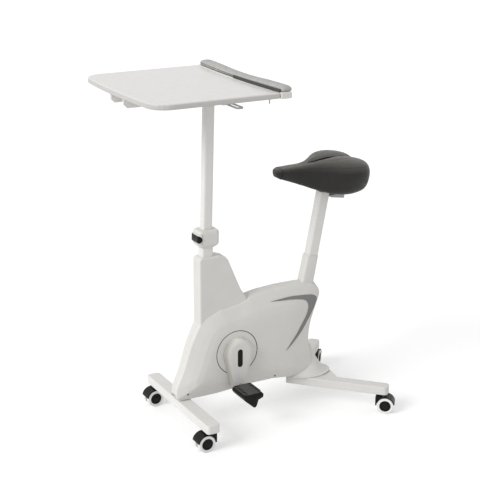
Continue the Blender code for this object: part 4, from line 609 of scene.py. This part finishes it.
def saddle_point(x, half_width, top, low, across, down, slack=0.0):
    """A point of the saddle's skin, drawn in by slack for the swelling that follows."""
    y = across * max(half_width - slack, half_width * 0.5)
    z = top - slack - down * (top - low - 2 * slack)
    if down < TOP_SHARE:
        channel = CHANNEL_DEPTH * share_between(x, CHANNEL_START, CHANNEL_RUN)
        cheek = CHEEK_RISE * share_between(x, CHEEK_START, CHEEK_RUN)
        z -= channel * math.exp(-(y / CHANNEL_SPREAD) ** 2)
        z += cheek * math.sin(math.pi * min(across / CHEEK_SHARE, 1.0))
    notch = NOTCH_DEPTH * share_between(x, NOTCH_START, NOTCH_RUN)
    back = notch * math.exp(-(y / NOTCH_SPREAD) ** 2)
    reach = x - slack * (1 if x > TAIL_START else -1 if x < NOSE_END else 0)
    return Vector((HEAD_X + reach - back, y, HEAD_Z + z))


def saddle_form(slack):
    bm = bmesh.new()
    rings = []
    section = spline(SADDLE_SECTION, 2)
    for station in spline(SADDLE_STATIONS, 4):
        half = [saddle_point(*station, *share, slack) for share in section]
        under = Vector((half[-1].x, 0, half[-1].z))
        mirrored = [Vector((p.x, -p.y, p.z)) for p in half[1:]]
        rings.append(half + [under] + mirrored[::-1])
    add_loft(bm, rings)
    return bm


def saddle():
    cover = mesh_piece("saddle_cover", saddle_form(SADDLE_SLACK), "saddle_leather", None)
    puffed(cover, SADDLE_VOXEL, SADDLE_SWELL,
           lambda co: share_between(co.z, HEAD_Z + SADDLE_STIFF_HEIGHT, SADDLE_FREE_RUN),
           bm_tree(saddle_form(0.0)))
    cut_saddle(cover)
    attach(cover, "seat")
    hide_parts("saddle_cushion")
    saddle_seams(cover)


def cut_saddle(cover):
    """The pocket for the base plate underneath and the slit that vents the top."""
    plan = [(HEAD_X + x, y + POCKET_ROOM) for x, y in POCKET_PLAN]
    carve(cover, prism([(x, -y) for x, y in plan] + plan[::-1],
                       HEAD_Z + POCKET_LOW, HEAD_Z + POCKET_TOP))
    upper = []
    for i in range(SLIT_STEPS + 1):
        t = i / SLIT_STEPS
        upper.append((SLIT_START + (SLIT_END - SLIT_START) * t,
                      SLIT_HALF_WIDTH * math.sin(math.pi * t) ** SLIT_ROUNDNESS))
    outline = upper[:-1] + [(x, -y) for x, y in upper[::-1]][:-1]
    above = Vector(((SLIT_START + SLIT_END) / 2, 0, HEAD_Z + 0.2))
    top = surface_tree(cover).ray_cast(above, -UP)[0].z
    carve(cover, prism(outline, top - SLIT_DEPTH, top + 0.05))


def saddle_seams(cover):
    """Stitching along both top edges and a seam round the nose."""
    tree = surface_tree(cover)
    for side, name in SIDES:
        path = []
        for station in spline(SADDLE_STATIONS[1:-1], 3):
            point = saddle_point(*station, *STITCHING_SHARES)
            point.y *= side
            path.append(tree.find_nearest(point)[0])
        stitched("saddle_stitching_" + name, tree, path, "black_plastic", "seat")
    ring = []
    section = spline(SADDLE_SECTION, 3)
    for sign, shares in ((1, section), (-1, section[::-1])):
        for across, down in shares:
            point = saddle_point(*NOSE_SEAM_STATION, across, down)
            ring.append(tree.find_nearest(Vector((point.x, point.y * sign, point.z)))[0])
    cleaned = [p for i, p in enumerate(ring) if (p - ring[i - 1]).length > NOSE_SEAM_GAP]
    tube("saddle_nose_seam", cleaned, NOSE_SEAM_RADIUS, "black_plastic", "seat", closed=True)


# Sleeve at the foot of the seat post

POST_DEPTH, POST_WIDTH, POST_CORNER = 0.034, 0.030, 0.006
SLEEVE_BOTTOM, SLEEVE_TOP = 0.366, 0.460
SLEEVE_ROOM = 0.0006
SLEEVE_WALL, SLEEVE_RIM_WALL = 0.0010, 0.0004
SLEEVE_FRONT = 0.0055
SLEEVE_CHAMFER = 0.004
SLEEVE_RIM_SETBACK = 0.0025


def rounded_outline(low_x, high_x, half_y, radius):
    """A rectangle with rounded corners, as (x, y) points."""
    corners = ((high_x, half_y), (low_x, half_y), (low_x, -half_y), (high_x, -half_y))
    points = []
    for number, (x, y) in enumerate(corners):
        centre = (x - math.copysign(radius, x), y - math.copysign(radius, y))
        points += corner_arc(centre, radius, number, 6)
    return points


def seat_sleeve():
    """A moulded sleeve round the post where it enters the shell, deeper at its front."""
    low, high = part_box("seat_post")
    axis = Vector(JOINTS["seat_slide"]["axis"]).normalized()
    forward = Vector((axis.z, 0, -axis.x))
    middle = (low + high) / 2
    half_x, half_y = POST_DEPTH / 2 + SLEEVE_ROOM, POST_WIDTH / 2 + SLEEVE_ROOM

    def ring(level, front, wall, radius):
        base = middle + axis * ((level - middle.z) / axis.z)
        outline = rounded_outline(-half_x - front - wall, half_x + wall, half_y + wall, radius)
        return [base + forward * x + Vector((0, y, 0)) for x, y in outline]

    top_front = SLEEVE_FRONT * 0.5
    outer_corner, rim_corner = POST_CORNER + 0.0015, POST_CORNER + 0.0005
    bm = bmesh.new()
    add_loft(bm, [ring(SLEEVE_BOTTOM, SLEEVE_FRONT, SLEEVE_WALL, outer_corner),
                  ring(SLEEVE_TOP - SLEEVE_CHAMFER, top_front, SLEEVE_WALL, outer_corner),
                  ring(SLEEVE_TOP, top_front - SLEEVE_RIM_SETBACK, SLEEVE_RIM_WALL, rim_corner),
                  ring(SLEEVE_TOP, 0.0, 0.0, POST_CORNER),
                  ring(SLEEVE_BOTTOM, 0.0, 0.0, POST_CORNER)], True)
    mesh_piece("seat_post_sleeve", bm, "white_plastic", "frame", 35)


# Armrest

RAIL_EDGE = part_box("armrest_rail")[0].x - 0.0003
RAIL_WIDTH = 0.045
PAD_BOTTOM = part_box("armrest_pad")[0].z
PAD_HALF_LENGTH = 0.241
PAD_WIDTH = 0.036
PAD_INSET = 0.003
PAD_SWEEP, PAD_SWEEP_REACH = 0.010, 0.242
PAD_HEIGHT, PAD_END_RISE, PAD_RISE_REACH = 0.0125, 0.003, 0.13
PAD_SLACK = 0.0016
PAD_SWELL = 0.0022
PAD_VOXEL = 0.0030
PAD_STIFF_HEIGHT = 0.001
PAD_FREE_RUN = 0.005
PAD_STATIONS = 96

# The ends: how square they are, and the shares of width and height that are left at the tip
PAD_END_POWER, PAD_END_ROOM = 24, 0.0008
PAD_TIP_WIDTH, PAD_TIP_HEIGHT = 0.65, 0.55

# A section, as shares of the half width and of the height
PAD_SECTION = [(-0.93, 0.0), (0.93, 0.0), (1.0, 0.22), (0.985, 0.50), (0.90, 0.78), (0.70, 0.93),
               (0.35, 1.0), (-0.35, 1.0), (-0.70, 0.93), (-0.90, 0.78), (-0.985, 0.50),
               (-1.0, 0.22)]

# Shares of the height at which the foot bead (its black painted shadow), the seam and the stitching run
PAD_FOOT_SHADOW, PAD_SEAM, PAD_STITCHING = 0.06, 0.42, 0.59
PAD_LINE_STEPS, PAD_LINE_END = 120, 0.006


def pad_middle(y):
    """The pad's middle line in plan, swept back towards its ends."""
    sweep = PAD_SWEEP * (y / PAD_SWEEP_REACH) ** 2
    return RAIL_EDGE + RAIL_WIDTH - PAD_INSET - PAD_WIDTH / 2 + sweep


def pad_height(y):
    return PAD_HEIGHT + PAD_END_RISE * min(abs(y) / PAD_RISE_REACH, 1.0) ** 2


def armrest_form(slack):
    bm = bmesh.new()
    rings = []
    half = PAD_HALF_LENGTH - slack
    for i in range(PAD_STATIONS + 1):
        y = half * (2 * i / PAD_STATIONS - 1)
        end = math.sqrt(max(1 - (abs(y) / (half + PAD_END_ROOM)) ** PAD_END_POWER, 0.0))
        half_width = (PAD_WIDTH / 2 - slack) * (PAD_TIP_WIDTH + (1 - PAD_TIP_WIDTH) * end)
        height = (pad_height(y) - slack) * (PAD_TIP_HEIGHT + (1 - PAD_TIP_HEIGHT) * end)
        rings.append([Vector((pad_middle(y) + across * half_width, y, PAD_BOTTOM + up * height))
                      for across, up in PAD_SECTION])
    add_loft(bm, rings)
    return bm


def pad_share(point):
    """How far up the pad's own height a point lies."""
    return (point.z - PAD_BOTTOM) / pad_height(point.y)


def pad_line(tree, side, share):
    """A line along one side of the pad, a share of the way up."""
    half = PAD_HALF_LENGTH - PAD_SLACK - PAD_LINE_END
    path = []
    for i in range(PAD_LINE_STEPS + 1):
        y = half * (2 * i / PAD_LINE_STEPS - 1)
        outside = Vector((pad_middle(y) + side * PAD_WIDTH, y,
                          PAD_BOTTOM + share * pad_height(y)))
        hit = tree.ray_cast(outside, Vector((-side, 0, 0)))[0]
        if hit:
            path.append(hit)
    return path


def armrest():
    cover = mesh_piece("armrest_cover", armrest_form(PAD_SLACK), "pad_leather", None)
    puffed(cover, PAD_VOXEL, PAD_SWELL,
           lambda co: share_between(co.z, PAD_BOTTOM + PAD_STIFF_HEIGHT, PAD_FREE_RUN),
           bm_tree(armrest_form(0.0)))
    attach(cover, "desk")
    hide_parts("armrest_pad")
    cover.data.materials.append(FINISHES["pad_band"])
    for face in cover.data.polygons:
        if pad_share(face.center) < PAD_SEAM:
            face.material_index = 1
    tree = surface_tree(cover)
    for side, name in ((-1, "front"), (1, "rear")):
        # The black foot bead is painted shadow for the gap between the pad and the rail
        for line, share, radius in (("seam", PAD_SEAM, 0.0006), ("foot", PAD_FOOT_SHADOW, 0.0008)):
            tube(f"armrest_{line}_{name}", pad_line(tree, side, share), radius, "belt_rubber",
                 "desk", sides=6)
        stitched("armrest_stitching_" + name, tree, pad_line(tree, side, PAD_STITCHING),
                 "light_plastic", "desk", length=0.0026, pitch=0.0040, radius=0.0004)


# Casters

HUB_PROFILE = [(AXIS_RADIUS / 2, -0.0004), (0.0169, -0.0004), (0.0169, 0.0005), (0.0163, 0.0012),
               (0.0150, 0.0015), (0.0140, 0.0013), (0.0134, 0.0004), (0.0120, 0.0003),
               (0.0070, 0.0006), (0.0062, 0.0014), (0.0056, 0.0022), (0.0046, 0.0028),
               (0.0030, 0.0031), (AXIS_RADIUS / 2, 0.0031)]
HUB_FLOOR = 0.0188
SPOKE_COUNT = 5

# Along a spoke: distance from the axle, half width and height, and the share of its top's width
SPOKE_STATIONS = ((0.0055, 0.0014, 0.0012), (0.0095, 0.0011, 0.0013), (0.0138, 0.0009, 0.0011))
SPOKE_TOP = 0.6


def caster_hubs():
    """A dished black cap in each wheel, with a raised rim, a boss and short ribs."""
    for corner in ("front_left", "front_right", "rear_left", "rear_right"):
        joint = JOINTS[corner + "_roll"]
        axle, axis = Vector(joint["pos_m"]), Vector(joint["axis"]).normalized()
        for sign, name in ((-1, "a"), (1, "b")):
            out = axis * sign
            floor = axle + out * HUB_FLOOR
            bm = bmesh.new()
            add_turned(bm, HUB_PROFILE, floor, out, 36)
            side = out.cross(UP).normalized()
            for angle in round_angles(SPOKE_COUNT):
                ray = side * math.cos(angle) + UP * math.sin(angle)
                across = out.cross(ray)
                rings = []
                for reach, half, height in SPOKE_STATIONS:
                    base = floor + ray * reach
                    rings.append([base - across * half, base + across * half,
                                  base + across * half * SPOKE_TOP + out * height,
                                  base - across * half * SPOKE_TOP + out * height])
                add_loft(bm, rings)
            mesh_piece(f"wheel_hub_{corner}_{name}", bm, "black_plastic", "wheels_" + corner, 30)


# Pedals

PEDAL_TOP = 0.0125
TREAD_FRONT, TREAD_REAR, TREAD_HALF = -0.0325, 0.0235, 0.0372

# The plate's corners in plan, with their radii, and its rings as (inset, height)
TREAD_CORNERS = ((TREAD_REAR, 1, 0.017), (TREAD_FRONT, 1, 0.011),
                 (TREAD_FRONT, -1, 0.006), (TREAD_REAR, -1, 0.006))
TREAD_RINGS = ((0.0, -0.0008), (0.0, 0.0010), (0.0006, 0.0015))

# Plan of one slot, and where the slots stand
SLOT_PLAN = [(-0.0050, -0.0040), (0.0050, -0.0014), (0.0050, 0.0040), (-0.0050, 0.0014)]
SLOT_ROWS = (-0.0262, 0.0172)
SLOT_COUNT = 6
SLOT_PITCH = 0.0114
SLOT_FLOOR = -0.0002

# The cap in the pedal's outer end
CAP_PLACE = 0.0388
CAP_PROFILE = [(AXIS_RADIUS, -0.0006), (0.0080, -0.0006), (0.0080, 0.0006), (0.0072, 0.0014),
               (0.0030, 0.0018), (AXIS_RADIUS, 0.0018)]


def tread_outline(side, inset):
    """Plan of the tread plate, with a rounder outer end."""
    points = []
    for number, (x, outward, radius) in enumerate(TREAD_CORNERS):
        centre = (x - math.copysign(radius, x), outward * (TREAD_HALF - radius))
        points += [(px, side * py) for px, py in corner_arc(centre, radius - inset, number, 8)]
    return points


def pedal_treads():
    """A slotted plate on each pedal and a cap in its outer end."""
    for side, name in SIDES:
        x0, y0, z0 = JOINTS[f"pedal_{name}_spin"]["pos_m"]
        top = z0 + PEDAL_TOP
        bm = bmesh.new()
        add_loft(bm, [[Vector((x0 + x, y0 + y, top + rise)) for x, y in tread_outline(side, inset)]
                      for inset, rise in TREAD_RINGS])
        plate = mesh_piece("pedal_tread_" + name, bm, "dark_plastic", None, 30)
        for row in SLOT_ROWS:
            for i in range(SLOT_COUNT):
                y = y0 + (i - (SLOT_COUNT - 1) / 2) * SLOT_PITCH
                slot = [(x0 + row + x, y + side * v) for x, v in SLOT_PLAN]
                carve(plate, prism(slot, top + SLOT_FLOOR, top + 0.01))
        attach(plate, name + "_pedal")
        bm = bmesh.new()
        add_turned(bm, CAP_PROFILE, Vector((x0, y0 + side * CAP_PLACE, z0)),
                   Vector((0, side, 0)), 28)
        mesh_piece("pedal_cap_" + name, bm, "black_plastic", name + "_pedal")


# Dark rings round the cranks, painted shadow for the gap round each disc

SHADOW_RING_RADIUS = 0.0009
SHADOW_RING_ROOM = 0.0010
SHADOW_RING_SINK = 0.0004
SHADOW_RING_STEPS = 96


def crank_gap_shadow_rings():
    """A black ring round each crank disc, painted shadow for the gap between the disc and the shell."""
    for side, name in SIDES:
        low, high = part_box("crank_disc_" + name)
        face = low.y if side < 0 else high.y
        middle = JOINTS["crank_spin"]["pos_m"]
        radius = (high.x - low.x) / 2 + SHADOW_RING_ROOM
        ring = [Vector((middle[0] + radius * math.cos(a), face - side * SHADOW_RING_SINK,
                        middle[2] + radius * math.sin(a))) for a in round_angles(SHADOW_RING_STEPS)]
        tube("crank_gap_shadow_" + name, ring, SHADOW_RING_RADIUS, "belt_rubber", "frame", closed=True)


# Small parts under the desk

BOLT_RADIUS, BOLT_HEIGHT = 0.0048, 0.0030
BOLT_SPREAD = 0.042
BOLT_STEPS = 24
HEXAGON = 6

# From the desk arms' undersides down to the face that the bolts sit on
BRACKET_PLATE = 0.0053

PEG_PLACE = (-0.0590, -0.2335)
PEG_PROFILE = [(AXIS_RADIUS, -0.0120), (0.0010, -0.0120), (0.0017, -0.0113), (0.0017, -0.0016),
               (0.0030, -0.0006), (0.0030, 0.0004), (AXIS_RADIUS, 0.0004)]


def bolt(bm, place, axis, radius, height):
    """A button head with a hexagon socket."""
    turn = UP.rotation_difference(axis).to_matrix()

    def ring(size, level, sides=None):
        points = []
        for angle in round_angles(BOLT_STEPS):
            reach = size
            if sides:
                part = (angle % (2 * math.pi / sides)) - math.pi / sides
                reach = size * math.cos(math.pi / sides) / math.cos(part)
            points.append(place + turn @ Vector((reach * math.cos(angle),
                                                 reach * math.sin(angle), level)))
        return points

    add_loft(bm, [ring(radius * 0.5, -0.0006), ring(radius, -0.0006), ring(radius, height * 0.25),
                  ring(radius * 0.90, height * 0.72), ring(radius * 0.66, height),
                  ring(radius * 0.46, height, HEXAGON), ring(radius * 0.44, height * 0.25, HEXAGON),
                  ring(radius * 0.1, height * 0.2)])


def bracket_bolts():
    low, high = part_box("desk_bracket")
    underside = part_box("desk_arm_left")[0].z - BRACKET_PLATE
    middle = (low.x + high.x) / 2
    bm = bmesh.new()
    for x in (middle - BOLT_SPREAD, middle + BOLT_SPREAD):
        for y in (-BOLT_SPREAD, BOLT_SPREAD):
            bolt(bm, Vector((x, y, underside)), -UP, BOLT_RADIUS, BOLT_HEIGHT)
    mesh_piece("bracket_bolts", bm, "steel", "desk", 30)


def edge_peg():
    """The short peg under the desk's near edge."""
    bm = bmesh.new()
    add_turned(bm, PEG_PROFILE, Vector((*PEG_PLACE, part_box("desktop")[0].z)), UP, 20)
    mesh_piece("edge_peg", bm, "light_plastic", "desk")


# Collar lever

PILL_HEIGHT = 0.0102
PILL_SKIN = 0.0030
PILL_RISE = 0.0014
PILL_SHORT = 0.0008
PILL_CORNER = 0.0115
PILL_STEPS = 96

# A section of the grip: depth under its outer face, and share of its half height
PILL_SECTION = ((0.0012, 1.0), (0.0004, 0.95), (0.0, 0.84), (0.0, -0.84), (0.0004, -0.95),
                (0.0012, -1.0), (PILL_SKIN, -1.0), (PILL_SKIN, 1.0))
MAST_LEAN = math.radians(1.69)


def pill_path():
    """Plan of the grip's outer face round the collar's front, from near side to far side."""
    low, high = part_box("collar_lever")
    back, front = high.x - PILL_SHORT, low.x - PILL_RISE
    half = (high.y - low.y) / 2 + PILL_RISE
    near = [(back, -half)]
    for angle in range(0, 91, 10):
        a = math.radians(angle)
        near.append((front + PILL_CORNER * (1 - math.sin(a)),
                     PILL_CORNER * (1 - math.cos(a)) - half))
    across = [(front, (i / 6 - 1) * (half - PILL_CORNER)) for i in range(1, 12)]
    return near + across + [(x, -y) for x, y in near[::-1]]


def along_path(path, steps):
    """Points on a path, closer near its ends, each with the direction inward and the distance to
    the nearer end."""
    lengths = [0.0]
    for a, b in zip(path, path[1:]):
        lengths.append(lengths[-1] + math.dist(a, b))
    for i in range(steps + 1):
        goal = lengths[-1] * (0.5 - 0.5 * math.cos(math.pi * i / steps))
        passed = max(j for j, reached in enumerate(lengths) if reached <= goal + 1e-9)
        k = min(passed, len(path) - 2)
        t = (goal - lengths[k]) / (lengths[k + 1] - lengths[k])
        point = [a + (b - a) * t for a, b in zip(path[k], path[k + 1])]
        heading = Vector([b - a for a, b in zip(path[k], path[k + 1])]).normalized()
        yield point, Vector((heading.y, -heading.x)), min(goal, lengths[-1] - goal)


def collar_lever():
    """A white lever body with a black pill-shaped grip wrapped round it."""
    node = NODES["collar_lever"]
    body = bpy.data.objects.new("collar_lever_body", node.data.copy())
    body.data.materials.clear()
    body.data.materials.append(FINISHES["white_plastic"])
    bpy.context.scene.collection.objects.link(body)
    body.matrix_world = node.matrix_world
    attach(body, "collar_lever")
    low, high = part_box("collar_lever")
    middle = (low.z + high.z) / 2
    rings = []
    for (x, y), inward, distance in along_path(pill_path(), PILL_STEPS):
        reach = min(max(distance, 0.0002) / PILL_HEIGHT, 1.0)
        tall = PILL_HEIGHT * math.sqrt(1 - (1 - reach) ** 2)
        ring = []
        for depth, share in PILL_SECTION:
            level = tall * share
            ring.append(Vector((x + inward.x * depth + level * math.tan(MAST_LEAN),
                                y + inward.y * depth, middle + level)))
        rings.append(ring)
    bm = bmesh.new()
    add_loft(bm, rings)
    grip = mesh_piece("collar_lever_grip", bm, "black_plastic", "collar_lever", 50)
    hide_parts("collar_lever")


# Stage


def seen_directly(tree):
    """1 for rays from the camera, and for reflected and transmitted ones."""
    path = tree.nodes.new("ShaderNodeLightPath")
    total = path.outputs["Is Camera Ray"]
    for name in ("Is Glossy Ray", "Is Transmission Ray"):
        most = tree.nodes.new("ShaderNodeMath")
        most.operation = "MAXIMUM"
        tree.links.new(total, most.inputs[0])
        tree.links.new(path.outputs[name], most.inputs[1])
        total = most.outputs[0]
    return total


def floor_material():
    """Matte, and for rays that see it directly a little brighter than the lamps make it."""
    made = bpy.data.materials.new("pale_floor")
    made.use_nodes = True
    tree = made.node_tree
    tree.nodes.clear()
    diffuse = tree.nodes.new("ShaderNodeBsdfDiffuse")
    diffuse.inputs["Color"].default_value = (*FLOOR_COLOUR, 1.0)
    light = tree.nodes.new("ShaderNodeEmission")
    light.inputs["Color"].default_value = (1, 1, 1, 1)
    light.inputs["Strength"].default_value = FLOOR_GLOW
    both = tree.nodes.new("ShaderNodeAddShader")
    mix = tree.nodes.new("ShaderNodeMixShader")
    out = tree.nodes.new("ShaderNodeOutputMaterial")
    tree.links.new(seen_directly(tree), mix.inputs[0])
    tree.links.new(diffuse.outputs[0], both.inputs[0])
    tree.links.new(light.outputs[0], both.inputs[1])
    tree.links.new(diffuse.outputs[0], mix.inputs[1])
    tree.links.new(both.outputs[0], mix.inputs[2])
    tree.links.new(mix.outputs[0], out.inputs["Surface"])
    return made


def white_world():
    """An even sky that lights softly and shows as white."""
    world = bpy.data.worlds.new("studio")
    world.use_nodes = True
    tree = world.node_tree
    background = tree.nodes["Background"]
    background.inputs["Color"].default_value = (1, 1, 1, 1)
    strength = tree.nodes.new("ShaderNodeMapRange")
    strength.inputs["To Min"].default_value = WORLD_LIGHT
    strength.inputs["To Max"].default_value = 1.0
    tree.links.new(seen_directly(tree), strength.inputs["Value"])
    tree.links.new(strength.outputs["Result"], background.inputs["Strength"])
    return world


def stage():
    scene = bpy.context.scene
    scene.view_settings.view_transform = "Standard"
    scene.world = white_world()

    bm = bmesh.new()
    bmesh.ops.create_grid(bm, x_segments=1, y_segments=1, size=FLOOR_SIZE)
    floor = object_of("floor", bm, floor_material())
    floor.location.z = -FLOOR_DROP

    sun = bpy.data.lights.new("key", "SUN")
    sun.energy = KEY_LIGHT
    sun.angle = math.radians(KEY_SPREAD)
    lamp = bpy.data.objects.new("key", sun)
    lamp.rotation_euler = Vector(KEY_DIRECTION).to_track_quat("-Z", "Y").to_euler()
    scene.collection.objects.link(lamp)

    camera = bpy.data.objects.new("camera", bpy.data.cameras.new("camera"))
    camera.data.sensor_width = SENSOR
    camera.data.lens = SENSOR * FOCAL_PIXELS / PICTURE_SIZE
    camera.location = CAMERA_PLACE
    camera.rotation_euler = (math.radians(90 - CAMERA_PITCH), 0, math.radians(-CAMERA_HEADING))
    scene.collection.objects.link(camera)
    scene.camera = camera


dress_nodes()
stage()
saddle()
armrest()
seat_sleeve()
caster_hubs()
pedal_treads()
crank_gap_shadow_rings()
bracket_bolts()
edge_peg()
collar_lever()
